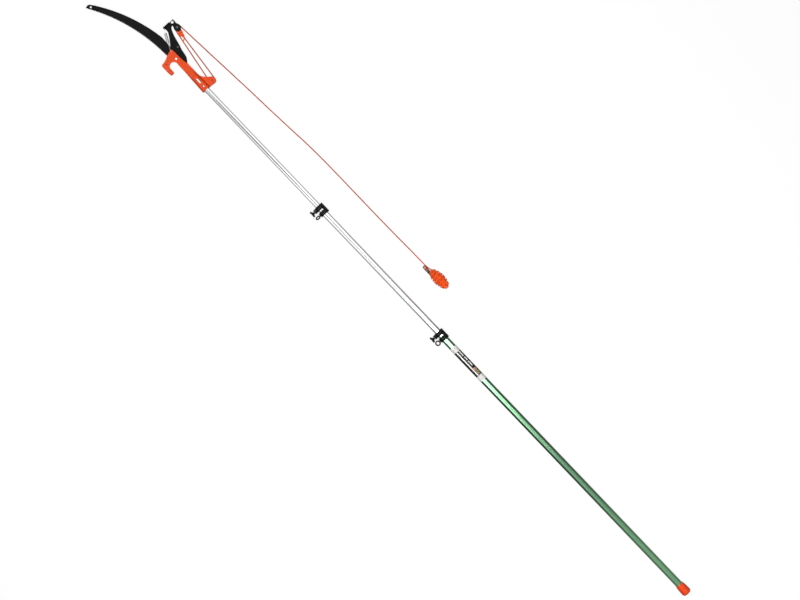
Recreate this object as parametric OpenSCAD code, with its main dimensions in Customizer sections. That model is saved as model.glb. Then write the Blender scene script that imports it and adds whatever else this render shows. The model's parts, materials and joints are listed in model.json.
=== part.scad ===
// Telescopic tree pruner pole with a hooked head, a curved saw and a rope tackle.
// X runs from the butt to the head, the pole's axis is y = z = 0, and +Z is the front.
// It lies on the surface that touches the end cap. Points of the head are measured from
// the mouth of its socket.

/* [Pole tubes] */
// Outside diameter of the outer tube
outer_tube_od = 26; // [22:0.5:30]
// Wall of all three tubes
tube_wall = 1.2; // [0.8:0.1:1.6]
// Radial play between one tube and the next
tube_gap = 0.3; // [0.2:0.05:0.5]
// Length of the outer tube
outer_tube_len = 1231; // [900:1:1600]
// Length of the middle tube
middle_tube_len = 1200; // [900:1:1500]
// Length of the upper tube
upper_tube_len = 1230; // [900:1:1500]
// How far the middle tube stands out of the outer one
middle_out = 602; // [200:1:1000]
// How far the upper tube stands out of the middle one
upper_out = 636; // [200:1:1000]
// Length of a guide bush inside its tube
bush_spigot = 16; // [8:1:30]
// Thickness of a guide bush's flange
bush_flange = 8; // [4:0.5:15]
// Radial play of a guide bush in the tube around it
bush_play = 0.1; // [0.05:0.01:0.15]
// Wall of a guide bush
bush_wall = 2; // [1.5:0.1:4]

/* [End cap and label] */
// Length of the end cap
cap_len = 43; // [30:1:60]
// Outside diameter of the end cap, which sets the surface it lies on
cap_od = 33.4; // [31.6:0.2:40]
// Thickness of the end cap's floor
cap_floor = 6; // [3:0.5:10]
// Outside diameter of the end cap at its mouth
cap_mouth_od = 29; // [28:0.2:31]
// Length over which the end cap flares from its mouth
cap_flare = 27; // [15:1:29]
// Radius of the end cap's rounded end
cap_round = 8; // [4:0.5:12]
// Length of the label round the outer tube
label_len = 155; // [60:1:250]
// Gap between the label and the end of the outer tube
label_back = 56; // [30:1:200]
// Thickness of the label
label_t = 0.2; // [0.15:0.05:0.4]
// Film of glue under the label
label_film = 0.05; // [0.03:0.01:0.1]
// Angle that the label wraps
label_wrap = 300; // [180:5:340]

/* [Clamps] */
// Length of a clamp
clamp_len = 38.5; // [32:0.5:60]
// Outside diameter of a clamp's collars
clamp_od = 32.6; // [30:0.2:33.4]
// Width of the slot between a clamp's two collars
clamp_slot = 5; // [3:0.5:8]
// Chamfer on a collar's edges
collar_chamfer = 1.4; // [0.5:0.1:2]
// How far the slot runs past the pole's axis
slot_past = 5; // [0:0.5:9]
// Width of the spine that joins the collars
spine_w = 20; // [12:0.5:24]
// Chamfer along the spine and the arms
arm_chamfer = 2.5; // [1:0.1:4]
// Distance of the spine's back from the pole's axis
spine_y = 18; // [17:0.5:22]
// Thickness of the arms that hold the screws
arm_t = 12.5; // [11:0.5:15]
// Distance of the wing screw's arm end from the pole's axis
wing_arm_y = 24; // [22:0.5:30]
// Distance of the eye screw's arm end from the pole's axis
eye_arm_y = 17; // [17:0.5:24]
// Outside diameter of a threaded insert
insert_od = 8; // [7:0.5:10]
// Length of a threaded insert
insert_len = 5; // [3:0.5:6]
// Diameter of the clamp screws
stud_d = 5; // [4:0.5:6]
// Radial play of a screw in its insert
thread_play = 0.08; // [0.03:0.01:0.1]
// Gap between a screw's end and the tube that it presses on
stud_gap = 0.3; // [0.2:0.05:0.5]
// Gap between a screw's head and its arm
head_gap = 0.5; // [0.3:0.1:1]
// Diameter of a wing knob's hub
wing_hub_d = 9; // [7.5:0.5:12]
// Length of a wing knob's hub
wing_hub_len = 7; // [5:0.5:9]
// Width across a wing knob's wings
wing_span = 24; // [18:1:28]
// Height of a wing knob
wing_h = 13; // [11:0.5:18]
// Thickness of a wing knob's wings
wing_t = 6; // [4:0.2:8]
// Outside diameter of an eye screw's ring
eye_od = 20; // [17:0.5:22]
// Thickness of an eye screw's ring
eye_wire = 4.8; // [4:0.2:5.4]
// Turn of the lower clamp's wing knob
lower_wing_turn = 35; // [-90:5:90]
// Turn of the upper clamp's wing knob
upper_wing_turn = 0; // [-90:5:90]
// Turn of the lower clamp's eye screw
lower_eye_turn = 0; // [-90:5:90]
// Turn of the upper clamp's eye screw
upper_eye_turn = 55; // [-90:5:90]

/* [Head body] */
// Depth of the upper tube in the head's socket
socket_depth = 58; // [45:1:64]
// Diameter of the socket at its mouth
socket_od = 33; // [30:0.5:38]
// Diameter of the socket where it has run into the arm
socket_top_od = 25.5; // [24:0.5:28]
// Thickness of the socket between its flat front and back
socket_thick = 26; // [25:0.5:30]
// Thickness of the hook and arm
plate_t = 5; // [4:0.5:8]
// Diameter of the throat that takes the branch
throat_d = 29; // [20:1:34]
// Diameter of the pivot bolt
pivot_d = 6; // [5:0.5:8]
// Thickness of the two cheeks beside the lower sheave
lobe_t = 3.5; // [2.5:0.5:5]
// Radius of those cheeks round the sheave's pin
lobe_r = 12.8; // [12.2:0.2:15]
// Length of the window in the socket
window_len = 22; // [12:1:26]
// Width of the window in the socket
window_w = 8; // [4:0.5:10]
// Diameter of the screws that hold the socket on the tube
head_screw_d = 4.4; // [3:0.2:6]

/* [Saw] */
// Thickness of the saw blade
saw_t = 1.5; // [1:0.1:2.5]
// Length of the saw along its teeth
saw_arc_len = 334; // [250:1:400]
// Radius of the toothed edge
saw_edge_r = 620; // [450:10:900]
// Width of the saw at its tip
saw_tip_w = 17; // [12:0.5:26]
// Width of the saw at its root
saw_root_w = 40; // [34:0.5:46]
// Spacing of the teeth
tooth_pitch = 5.3; // [4:0.1:8]
// Depth of the teeth
tooth_depth = 3.2; // [2:0.1:5]
// Diameter of the hole near the saw's tip
tip_hole_d = 7; // [4:0.5:9]
// Distance of that hole from the saw's tip
tip_hole_in = 13; // [9:0.5:20]
// Diameter of the screws that hold the saw
saw_screw_d = 4; // [3:0.5:5]

/* [Lever and cutting blade] */
// Thickness of the lever
lever_t = 4; // [3:0.5:5]
// Thickness of the cutting blade
blade_t = 3; // [2:0.5:4]
// Gap between the cutting blade and the hook
shear_gap = 0.3; // [0.2:0.05:0.5]
// Radial play of a turning piece on its pin
pin_play = 0.06; // [0.03:0.01:0.1]
// Width of the bevel on the cutting edge
bevel_w = 4; // [2:0.5:6]
// Thickness of the lever's bent flange
flange_t = 3; // [2:0.5:4]
// Height of the bent flange in front of the lever
flange_h = 13.5; // [13:0.5:16]
// Diameter of the blade rivets
rivet_d = 5; // [4:0.5:6]

/* [Tackle] */
// Diameter of the rope
rope_d = 3.6; // [3:0.1:4]
// Radius at which the rope's middle runs on the sheaves
pitch_r = 10.4; // [9:0.2:12]
// Outside diameter of the sheaves
sheave_od = 25; // [23.8:0.2:27]
// Width of the sheaves
sheave_w = 7; // [6:0.2:8]
// Gap beside a sheave, and between the rope and its groove
sheave_gap = 0.3; // [0.2:0.05:0.5]
// Diameter of the sheave pins
sheave_pin_d = 6; // [5:0.5:7]
// Thickness of the pulley block's cheeks
cheek_t = 2; // [1.5:0.25:3]
// Outside diameter of the eyelet that the block swings on
eyelet_od = 8.6; // [8:0.2:9.6]
// Bore of the eyelet
eyelet_bore = 6; // [4:0.5:6.5]
// Diameter of the pin that holds the rope's end
becket_pin_d = 4; // [3:0.5:5]
// Diameter of the knot
knot_d = 12.5; // [10:0.5:14]

/* [Return spring] */
// Diameter of the spring's wire
wire_d = 1.3; // [1:0.1:1.4]
// Diameter of the spring's curls at the middle of the wire
curl_d = 8.7; // [7:0.1:9]
// Number of curls
curls = 22; // [12:1:24]
// Step from one curl to the next
curl_step = 1.85; // [1.8:0.05:2]
// Diameter of the pin that holds the spring on the body
spring_pin_d = 4; // [3:0.5:5]

/* [Rope hank] */
// Half of the straight length of the hank's runs
hank_run = 25; // [20:1:40]
// Radius of the hank's outer fold at the middle of the rope
hank_fold = 16.7; // [14:0.1:22]
// Loops in each of the hank's four layers
layer_loops = 2; // [1:1:2]
// Gap between neighbouring turns
turn_gap = 0.65; // [0.5:0.05:1]
// How far the runs are drawn in at the waist
waist = 1.2; // [0:0.1:2]
// Thickness of the cord tab
tab_t = 3; // [2:0.5:4]
// Width of the cord tab
tab_w = 12; // [9:0.5:14]
// Length of the cord tab
tab_len = 66; // [50:1:80]

/* [Hidden] */
$fn = 48;
cut = 1;

// Tubes along the pole
outer_r = outer_tube_od / 2;
middle_r = outer_r - tube_wall - tube_gap;
upper_r = middle_r - tube_wall - tube_gap;
outer_x = cap_floor;
outer_end = outer_x + outer_tube_len;
middle_end = outer_end + middle_out;
middle_x = middle_end - middle_tube_len;
upper_end = middle_end + upper_out;
upper_x = upper_end - upper_tube_len;
head_x = upper_end - socket_depth;
floor_z = -cap_od / 2;

// Levels of the layers of the head, from front to back
lever_mid = -(shear_gap + blade_t + lever_t / 2);
lever_front = lever_mid + lever_t / 2;
lever_back = lever_mid - lever_t / 2;
cheek_in = sheave_w / 2 + sheave_gap;
lobe_front = lever_mid + cheek_in + lobe_t;
lobe_back = lever_mid - cheek_in - lobe_t;
block_front = lever_mid + cheek_in + cheek_t;
block_back = lever_mid - cheek_in - cheek_t;

// Places on the head
pivot = [149, 3];
throat = [136.7, 26];
head_top = 185.6;
hook_back = 57;
hook_tip = 117.4;
arm_low = -15.5;
arm_high = socket_top_od / 2 - 0.2;
socket_end = socket_depth + 3;
ramp_end = 94;
lower_sheave_at = [10.4, -36.8];
upper_sheave_at = [227.6, -75.3];
eyelet_at = [251.9, -75];
becket_at = [203.5, -71];
saw_root = [173, 20.5];
saw_screw_at = [175.5, 12];
hook_screw_at = [head_top - 28, 41];
rivets_at = [[176.6, -29.8], [163.5, -6.5]];
lobe_root = [46, arm_low];
lobe_blend = [61, arm_low];
head_screws_at = [20, 44];
lever_top = 258.5;
flange_ends = [-66, -37];
spring_pin_at = [180, -3.6];
spring_z = plate_t + 1.2;
flange_hole_y = -40.5;
pivot_boss_r = 11;
blade_boss_r = 10.5;
rivet_head_t = 1.4;
rope_r = rope_d / 2;

function unit(v) = v / norm(v);
function arc(c, r, a0, a1, n) =
    [for (i = [0:n]) let(a = a0 + (a1 - a0) * i / n) c + r * [cos(a), sin(a)]];
function bezier(p, q, r, n) =
    [for (i = [0:n]) let(t = i / n) (1 - t) * (1 - t) * p + 2 * t * (1 - t) * q + t * t * r];
// Angle at which a line from p touches the circle, on its left (1) or right (-1) seen from c
function touch_angle(c, r, p, side) =
    let(d = p - c) atan2(d[1], d[0]) + side * acos(r / norm(d));
function on_circle(c, r, a) = c + r * [cos(a), sin(a)];
function at_z(p, z) = [p[0], p[1], z];

// Rope lines of the tackle, with the angles at which they meet the sheaves,
// and a small gap between rope ends that are on different bodies
end_gap = 0.3;
tackle_dir = unit(lower_sheave_at - upper_sheave_at);
lift_angle = atan2(tackle_dir[0], -tackle_dir[1]) + 180;
lift_top = on_circle(upper_sheave_at, pitch_r, lift_angle) + end_gap * tackle_dir;
lift_foot = on_circle(lower_sheave_at, pitch_r, lift_angle);
knot_at = becket_at + (knot_d / 2 + becket_pin_d / 2 + 1.2) * unit(lower_sheave_at - becket_at);
becket_angle = touch_angle(lower_sheave_at, pitch_r, knot_at, -1);
becket_foot = on_circle(lower_sheave_at, pitch_r, becket_angle);
becket_dir = unit(becket_foot - knot_at);
becket_top = knot_at + (knot_d / 2 + end_gap) * becket_dir;

// Route of the free rope: from the upper sheave down to the floor and along it to the hank
hank_at = [1387, -128];
rope_floor = floor_z + rope_r;
rope_aim = [2363 - head_x, -103];
pull_angle = touch_angle(upper_sheave_at, pitch_r, rope_aim, 1);
pull_top = on_circle(upper_sheave_at, pitch_r, pull_angle) + [head_x, 0];
pull_dir = unit(rope_aim + [head_x, 0] - pull_top);
hank_start = [hank_at[0] + hank_run, hank_at[1] - hank_fold];
route = concat(
    [for (d = [end_gap, 14]) at_z(pull_top + d * pull_dir, lever_mid)],
    [[2580, -89.6, -6.4], [2520, -93.3, -9], [2465, -96.7, -12], [2410, -100.1, -14.2]],
    [for (p = [[2363, -103], [2296, -107], [2214, -111], [2123, -116.5], [2046, -121.5],
        [1965, -124.4], [1883, -125], [1790, -125], [1700, -125], [1620, -125.5], [1560, -127],
        [1510, -128], [1474, -128], [1452, -128.5], [1441, -131], [1434.5, -135.5]])
        at_z(p, rope_floor)],
    [for (d = [[16, 3.5], [10, 0.8], [rope_d, 0]]) at_z(hank_start + d, rope_floor)]);
route_steps = 3;

// Smooth curve through the points of a route, with a few steps from each to the next
function route_point(p, i) = p[max(0, min(len(p) - 1, i))];
function smooth(p, n) = concat([for (i = [0:len(p) - 2], k = [0:n - 1])
    let(t = k / n, a = route_point(p, i - 1), b = p[i], c = p[i + 1], d = route_point(p, i + 2))
    0.5 * (2 * b + (c - a) * t + (2 * a - 5 * b + 4 * c - d) * t * t
        + (3 * b - a - 3 * c + d) * t * t * t)], [p[len(p) - 1]]);

// Tube swept along points, with its rings carried on without twist
function heading(p, i) = unit(p[min(i + 1, len(p) - 1)] - p[max(i - 1, 0)]);
function level(v, t) = unit(v - (v * t) * t);
function ring_normals(p, i, done) = i == len(p) ? done :
    ring_normals(p, i + 1, concat(done, [level(done[i - 1], heading(p, i))]));
module sweep(p, r, sides) {
    normals = ring_normals(p, 1, [level([0.1, 0.2, 1], heading(p, 0))]);
    points = [for (i = [0:len(p) - 1], j = [0:sides - 1])
        let(n = normals[i], b = cross(heading(p, i), n), a = 360 * (j + 0.5) / sides)
        p[i] + r * (cos(a) * n + sin(a) * b)];
    last = (len(p) - 1) * sides;
    walls = [for (i = [0:len(p) - 2], j = [0:sides - 1], half = [0, 1])
        let(a = i * sides + j, b = i * sides + (j + 1) % sides)
        half == 0 ? [a, a + sides, b + sides] : [a, b + sides, b]];
    ends = [for (j = [1:sides - 2], far = [0, 1])
        far == 0 ? [0, j, j + 1] : [last, last + j + 1, last + j]];
    polyhedron(points, concat(walls, ends));
}
// Least distance between two stretches of a tube that are more than skip rings apart
function to_stretch(p, a, b) =
    let(t = max(0, min(1, (p - a) * (b - a) / ((b - a) * (b - a))))) norm(p - a - t * (b - a));
function least_gap(p, d, skip) = min([for (i = [0:len(p) - skip - 2])
    min([for (j = [i + skip:len(p) - 2]) to_stretch(p[i], p[j], p[j + 1])])]) - d;

module at_head(z = 0) translate([head_x, 0, z]) children();
module rod_x(x, length, r) translate([x, 0, 0]) rotate([0, 90, 0]) cylinder(r = r, h = length);
module rod_z(at, z0, z1, r) translate([at[0], at[1], z0]) cylinder(r = r, h = z1 - z0);
module rod_y(x, y0, y1, r) translate([x, y0, 0]) rotate([-90, 0, 0]) cylinder(r = r, h = y1 - y0);
module plate(points, z0, z1) translate([0, 0, z0]) linear_extrude(z1 - z0) polygon(points);
module turn_x(x, points) translate([x, 0, 0]) rotate([0, 90, 0]) rotate_extrude() polygon(points);

module pole_tube(x, length, r) difference() {
    rod_x(x, length, r);
    rod_x(x - cut, length + 2 * cut, r - tube_wall);
}
module guide_bush(x, r) {
    outside = r + tube_gap - bush_play;
    inside = r - tube_wall;
    turn_x(x - bush_flange, [[inside - bush_wall, 0], [outside - 1, 0], [outside, 1],
        [outside, bush_flange], [inside, bush_flange], [inside, bush_flange + bush_spigot],
        [inside - bush_wall, bush_flange + bush_spigot]]);
}

module outer_tube() color("seagreen") pole_tube(outer_x, outer_tube_len, outer_r);
module middle_tube() color("gainsboro") pole_tube(middle_x, middle_tube_len, middle_r);
module upper_tube() color("gainsboro") difference() {
    pole_tube(upper_x, upper_tube_len, upper_r);
    for (a = head_screws_at) at_head() rod_z([a, 0], -socket_od, 0, head_screw_d / 2);
}
module middle_guide_bush() color("dimgray") guide_bush(middle_x, middle_r);
module upper_guide_bush() color("dimgray") guide_bush(upper_x, upper_r);

module end_cap() {
    r = cap_od / 2;
    mouth_r = max(cap_mouth_od / 2, outer_r + 1);
    color("orangered") turn_x(0, concat([[0, 0]],
        arc([r - cap_round, cap_round], cap_round, -90, 0, 8),
        bezier([r, cap_len - cap_flare], [r, cap_len - cap_flare / 2], [mouth_r, cap_len - 0.5], 8),
        [[mouth_r - 0.5, cap_len], [outer_r, cap_len], [outer_r, cap_floor], [0, cap_floor]]));
}
module pole_label() color("black") translate([outer_end - label_back - label_len, 0, 0])
    rotate([0, 90, 0]) rotate([0, 0, (360 - label_wrap) / 2]) rotate_extrude(angle = label_wrap)
        translate([outer_r + label_film, 0]) square([label_t, label_len]);

// A clamp stands at the mouth of the wider tube: its rear collar holds that tube and its
// front collar guides the tube that slides
collar_len = (clamp_len - clamp_slot) / 2;
collar_mid = (clamp_slot + collar_len) / 2;
// Each screw's place along the pole and the end of its arm; an insert stops short of the tube
clamp_screws = [[collar_mid, wing_arm_y], [-collar_mid, eye_arm_y]];
function insert_foot(arm_end) = max(arm_end - insert_len, outer_r + stud_gap);
function chamfered(w, h) = [[-w / 2, 0], [w / 2, 0], [w / 2, h - arm_chamfer],
    [w / 2 - arm_chamfer, h], [arm_chamfer - w / 2, h], [-w / 2, h - arm_chamfer]];
arm_inset = 0.5;
arm_half = collar_len / 2 - arm_inset;
arm_outline = let(w = arm_half, h = arm_t / 2, c = arm_chamfer)
    [[c - w, -h], [w - c, -h], [w, c - h], [w, h - c], [w - c, h], [c - w, h], [-w, h - c], [-w, c - h]];
module collar(x) turn_x(x, [[0, 0], [clamp_od / 2 - collar_chamfer, 0], [clamp_od / 2, collar_chamfer],
    [clamp_od / 2, collar_len - collar_chamfer], [clamp_od / 2 - collar_chamfer, collar_len],
    [0, collar_len]]);
module clamp_sleeve(x, r_wide, r_slide) color("black") translate([x, 0, 0]) difference() {
    union() {
        collar(-clamp_len / 2);
        collar(clamp_slot / 2);
        translate([-clamp_len / 2, 0, 0]) rotate([0, 90, 0]) rotate([0, 0, 180])
            linear_extrude(clamp_len) polygon(chamfered(spine_w, spine_y));
        for (s = clamp_screws) translate([s[0], 0, 0]) rotate([-90, 0, 0])
            linear_extrude(s[1]) polygon(arm_outline);
    }
    rod_x(-clamp_len, clamp_len, r_wide);
    rod_x(-cut, clamp_len, r_slide + tube_gap);
    translate([-clamp_slot / 2, -slot_past, -clamp_od]) cube([clamp_slot, 2 * clamp_od, 2 * clamp_od]);
    for (s = clamp_screws) {
        rod_y(s[0], 0, s[1] + cut, stud_d / 2 + stud_gap);
        rod_y(s[0], insert_foot(s[1]), s[1] + cut, insert_od / 2);
    }
}
module clamp_inserts(x) color("goldenrod") translate([x, 0, 0])
    for (s = clamp_screws) difference() {
        rod_y(s[0], insert_foot(s[1]), s[1], insert_od / 2);
        rod_y(s[0], 0, s[1] + cut, stud_d / 2 + thread_play);
    }
knob_y = wing_arm_y + head_gap;
// The wings spread from the hub and rise to their round tips
wing_tip_r = 3.5;
wing_dip = 1.2;
wing_root = [wing_hub_d / 2 - 0.5, wing_h - 3 * wing_tip_r];
wing_end = [wing_span / 2 - wing_tip_r, wing_h - wing_tip_r];
function left(p) = [-p[0], p[1]];
module wing_knob(x, turn) color("black") translate([x + collar_mid, knob_y, 0]) rotate([-90, 0, 0])
    rotate([0, 0, turn]) difference() {
        union() {
            cylinder(d = wing_hub_d, h = wing_hub_len);
            translate([0, wing_t / 2, 0]) rotate([90, 0, 0]) linear_extrude(wing_t)
                polygon(concat(
                    bezier(wing_root, wing_root + [0, wing_dip], wing_end - [0, wing_tip_r], 5),
                    arc(wing_end, wing_tip_r, -75, 100, 6), [[0, wing_h - wing_dip]],
                    arc(left(wing_end), wing_tip_r, 80, 255, 6),
                    bezier(left(wing_end) - [0, wing_tip_r], left(wing_root) + [0, wing_dip],
                        left(wing_root), 5)));
        }
        translate([0, 0, -cut]) cylinder(d = stud_d, h = wing_hub_len);
    }
module wing_stud(x, r_slide) color("silver")
    rod_y(x + collar_mid, r_slide + stud_gap, knob_y + wing_hub_len - cut, stud_d / 2);
module eye_screw(x, r_wide, turn) color("dimgray") translate([x - collar_mid, 0, 0]) {
    eye_foot = eye_arm_y + head_gap;
    union() {
        rod_y(0, r_wide + stud_gap, eye_foot + eye_wire / 2, stud_d / 2);
        rod_y(0, eye_foot, eye_foot + eye_wire / 2, stud_d / 2 + 1);
        translate([0, eye_foot + eye_od / 2, 0]) rotate([0, turn, 0]) rotate_extrude()
            translate([(eye_od - eye_wire) / 2, 0]) circle(d = eye_wire, $fn = 24);
    }
}

module lower_clamp_sleeve() clamp_sleeve(outer_end, outer_r, middle_r);
module lower_clamp_inserts() clamp_inserts(outer_end);
module lower_wing_knob() wing_knob(outer_end, lower_wing_turn);
module lower_wing_stud() wing_stud(outer_end, middle_r);
module lower_eye_screw() eye_screw(outer_end, outer_r, lower_eye_turn);
module upper_clamp_sleeve() clamp_sleeve(middle_end, middle_r, upper_r);
module upper_clamp_inserts() clamp_inserts(middle_end);
module upper_wing_knob() wing_knob(middle_end, upper_wing_turn);
module upper_wing_stud() wing_stud(middle_end, upper_r);
module upper_eye_screw() eye_screw(middle_end, middle_r, upper_eye_turn);

// Outline of the arm and hook, round the throat that is open towards the pole
throat_r = throat_d / 2;
body_outline = concat(
    [[socket_depth, arm_low], [112, arm_low], [121, -12.6], [138, -10.4], [head_top - 6, -9.4]],
    arc([head_top - 3, -6], 3, -70, 20, 4),
    [[head_top - 1.6, 4], [head_top - 6.2, 17.7], [head_top - 12, 28], [head_top - 16, 42]],
    arc([head_top - 24, hook_back - 7], 7, 15, 90, 5),
    arc([hook_tip + 7.5, hook_back - 7.5], 7.5, 90, 180, 6),
    arc([hook_tip + 6, throat[1] + throat_r + 6], 6, 180, 270, 5),
    arc(throat, throat_r, 90, -90, 20),
    [[throat[0] - 10, throat[1] - throat_r + 0.6], [ramp_end, arm_high], [socket_depth, arm_high]]);
// Side view of the socket and of the ramp that thins it to the arm
half_thick = socket_thick / 2;
socket_side = [[0, -half_thick], [0, half_thick], [socket_end - 4, half_thick], [ramp_end, plate_t],
    [ramp_end, 0], [socket_end + 14, -4], [socket_end, -half_thick]];
// Outline of the cheeks of the lobe beside the lower sheave
lobe_angle = touch_angle(lower_sheave_at, lobe_r, lobe_root, -1);
lobe_touch = on_circle(lower_sheave_at, lobe_r, lobe_angle);
lobe_outline = concat([[lobe_blend[0], -8]],
    bezier(lobe_blend, lobe_root, lobe_root + 0.5 * (lobe_touch - lobe_root), 6),
    arc(lower_sheave_at, lobe_r, lobe_angle, -185, 14), [[-0.5, -24], [0, -8]]);
module head_body() color("orangered") at_head() difference() {
    union() {
        intersection() {
            translate([0, socket_od, 0]) rotate([90, 0, 0]) linear_extrude(2 * socket_od)
                polygon(socket_side);
            rotate([0, 90, 0]) cylinder(d1 = socket_od, d2 = socket_top_od, h = ramp_end);
        }
        plate(body_outline, 0, plate_t);
        plate(lobe_outline, lobe_front - lobe_t, lobe_front);
        plate(lobe_outline, lobe_back, lobe_back + lobe_t);
    }
    rod_x(-socket_depth, 2 * socket_depth, upper_r);
    rod_z(pivot, -cut, plate_t + cut, pivot_d / 2);
    rod_z(lower_sheave_at, -socket_od, socket_od, sheave_pin_d / 2);
    rod_z(spring_pin_at, 1, plate_t + cut, spring_pin_d / 2);
    rod_z(saw_screw_at, -cut, plate_t - 1, saw_screw_d / 2);
    rod_z(hook_screw_at, -cut, plate_t + cut, saw_screw_d / 2);
    for (a = head_screws_at) rod_z([a, 0], -socket_od, 0, head_screw_d / 2);
    for (a = [-0.5, 0.5]) rod_z([40 + a * (window_len - window_w), -1], 0, socket_od, window_w / 2);
    translate([40 - (window_len - window_w) / 2, -1 - window_w / 2, 0])
        cube([window_len - window_w, window_w, socket_od]);
    translate([12, -6, 0]) cube([5, 10, socket_od]);
}
module head_screws() color("silver") for (a = head_screws_at) at_head() {
    rod_z([a, 0], -half_thick, tube_wall + 1 - upper_r, head_screw_d / 2);
    rod_z([a, 0], -half_thick - 2.2, -half_thick, head_screw_d / 2 + 2);
}

// The saw's toothed edge is an arc whose middle lies in front of the teeth
saw_mid = saw_root + [0, saw_edge_r];
saw_sweep = saw_turn(saw_arc_len);
teeth_from = 11;
tip_plain = 4;
teeth = floor((saw_arc_len - teeth_from - tip_plain) / tooth_pitch);
function saw_turn(len) = len / saw_edge_r * 180 / PI;
tooth_lean = 0.25;
function saw_point(turn, back) = saw_mid + (saw_edge_r + back) * [sin(turn), -cos(turn)];
// Width of the blade falls from the root to the tip, most of it near the tip
function saw_width(t) = saw_root_w + (saw_tip_w - saw_root_w) * (0.62 * t + 0.38 * t * t);
tip_hole_turn = saw_sweep - saw_turn(tip_hole_in);
saw_outline = concat(
    [for (i = [0:teeth - 1], lean = [0, tooth_lean])
        saw_point(saw_turn(teeth_from + (i + lean) * tooth_pitch), lean == 0 ? tooth_depth : 0)],
    [saw_point(saw_sweep - 0.3, tooth_depth), saw_point(saw_sweep, 1), saw_point(saw_sweep + 0.3, 3),
        saw_point(saw_sweep - 0.1, saw_tip_w - 3), saw_point(saw_sweep - 0.6, saw_tip_w)],
    [for (i = [15:-1:3]) saw_point(saw_sweep * i / 16, saw_width(i / 16))],
    [[saw_root[0] + 24, -12], [saw_root[0] + 12, -4], [saw_root[0] - 3, 1.5], [saw_root[0] - 11, 12],
        hook_screw_at + [-3.6, -11], hook_screw_at + [-5.4, 1], hook_screw_at + [-2, 6],
        hook_screw_at + [4, 6], hook_screw_at + [8, 0], [saw_root[0] - 3, 28],
        [saw_root[0] + 6, saw_root[1] - 1]]);
module saw_blade() color("#2b2d2e") at_head() difference() {
    plate(saw_outline, -saw_t, 0);
    rod_z(saw_point(tip_hole_turn, saw_tip_w / 2 + 1), -saw_t - cut, cut, tip_hole_d / 2);
    for (p = [saw_screw_at, hook_screw_at]) rod_z(p, -saw_t - cut, cut, saw_screw_d / 2);
}
// One saw screw ends in the arm, and the other shows its end on the hook
module saw_screws() color("dimgray") for (s = [[saw_screw_at, -1.5], [hook_screw_at, 0.6]]) at_head() {
    rod_z(s[0], -saw_t, plate_t + s[1], saw_screw_d / 2);
    rod_z(s[0], -saw_t - 1.6, -saw_t, saw_screw_d / 2 + 1.8);
}

// Pivot: the bolt is fast in the body, and the lever and blade turn on it
nut_t = 4;
pivot_head_r = pivot_d / 2 + 1.1;
module pivot_bolt() color("silver") at_head() union() {
    rod_z(pivot, lever_back - shear_gap - nut_t - 0.5, plate_t, pivot_d / 2);
    translate(at_z(pivot, plate_t)) rotate_extrude() polygon(concat([[0, 0]],
        [[pivot_head_r, 0]], arc([0, 0.8], pivot_head_r, 0, 30, 3), [[0, 3.2]]));
}
module pivot_nut() color("silver") at_head(lever_back - shear_gap - nut_t)
    translate(pivot) difference() {
        cylinder(r = pivot_d * 0.95, h = nut_t, $fn = 6);
        translate([0, 0, -cut]) cylinder(d = pivot_d, h = nut_t + 2 * cut);
    }

// Outline of the lever: a left edge beside the saw, the pivot boss, and a right edge that
// rises to the corner with the eyelet
lever_left = [[lever_top, flange_ends[1]], [251, -40.8], [243, -41.5], [235.6, -39.6],
    [221.7, -31.2], [207, -20.5], [188.4, -5.6]];
lever_right = [[158, -22], [168, -34.5], [175, -38.2], [188, -41.3], [207.5, -45.8], [221.7, -50.3],
    [235, -55.9], [242, -61], [244.6, -66.5], [244, -79]];
lever_outline = concat(lever_left, arc(pivot, pivot_boss_r, 56, 250, 18), lever_right,
    arc([249, -79], 5, 180, 270, 4), [[lever_top + 0.6, -84]]);
module lever_plate() color("#1c1c1e") at_head() difference() {
    union() {
        plate(lever_outline, lever_back, lever_front);
        translate([lever_top - flange_t, flange_ends[0], lever_back])
            cube([flange_t, flange_ends[1] - flange_ends[0], lever_t + flange_h]);
    }
    rod_z(pivot, lever_back - cut, lever_front + cut, pivot_d / 2 + pin_play);
    rod_z(eyelet_at, lever_back - cut, lever_front + cut, eyelet_od / 2 + pin_play);
    for (p = rivets_at) rod_z(p, lever_back - cut, lever_front + cut, rivet_d / 2);
    translate([0, flange_hole_y, spring_z])
        rod_x(lever_top - flange_t - cut, flange_t + 2 * cut, wire_d / 2 + 1.4);
}

// The cutting blade lies behind the arm and sweeps across the throat; its flat face meets
// the hook and its bevel faces the back
blade_back_edge = [[159, -33], [143, -30.5], [130, -27.4], [121, -21.5], [112, -14.5]];
blade_tip = [104, -7];
blade_edge_start = [143, 11.3];
function blade_edge(inset) = bezier(blade_tip + [inset, 0], [117 + inset * 0.7, 12.5 - inset],
    blade_edge_start - [0, inset], 10);
blade_root = [[152, -10], [159, -33], [175, -37.8], [188, -41], [190, -33], [182, -17], [172, -5],
    [160, 2]];
module cutting_blade() color("#1c1c1e") at_head() difference() {
    union() {
        hull() {
            plate(concat(blade_back_edge, blade_edge(0), [pivot]), -shear_gap - 0.2, -shear_gap);
            plate(concat(blade_back_edge, blade_edge(bevel_w), [pivot]), lever_front, lever_front + 0.2);
        }
        plate(blade_root, lever_front, -shear_gap);
        rod_z(pivot, lever_front, -shear_gap, blade_boss_r);
    }
    rod_z(pivot, lever_front - cut, cut, pivot_d / 2 + pin_play);
    for (p = rivets_at) rod_z(p, lever_front - cut, cut, rivet_d / 2);
}
module blade_rivets() color("gray") for (p = rivets_at) at_head() {
    rod_z(p, lever_back, -shear_gap, rivet_d / 2);
    rod_z(p, lever_back - rivet_head_t, lever_back, rivet_d / 2 + 1.6);
}

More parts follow.
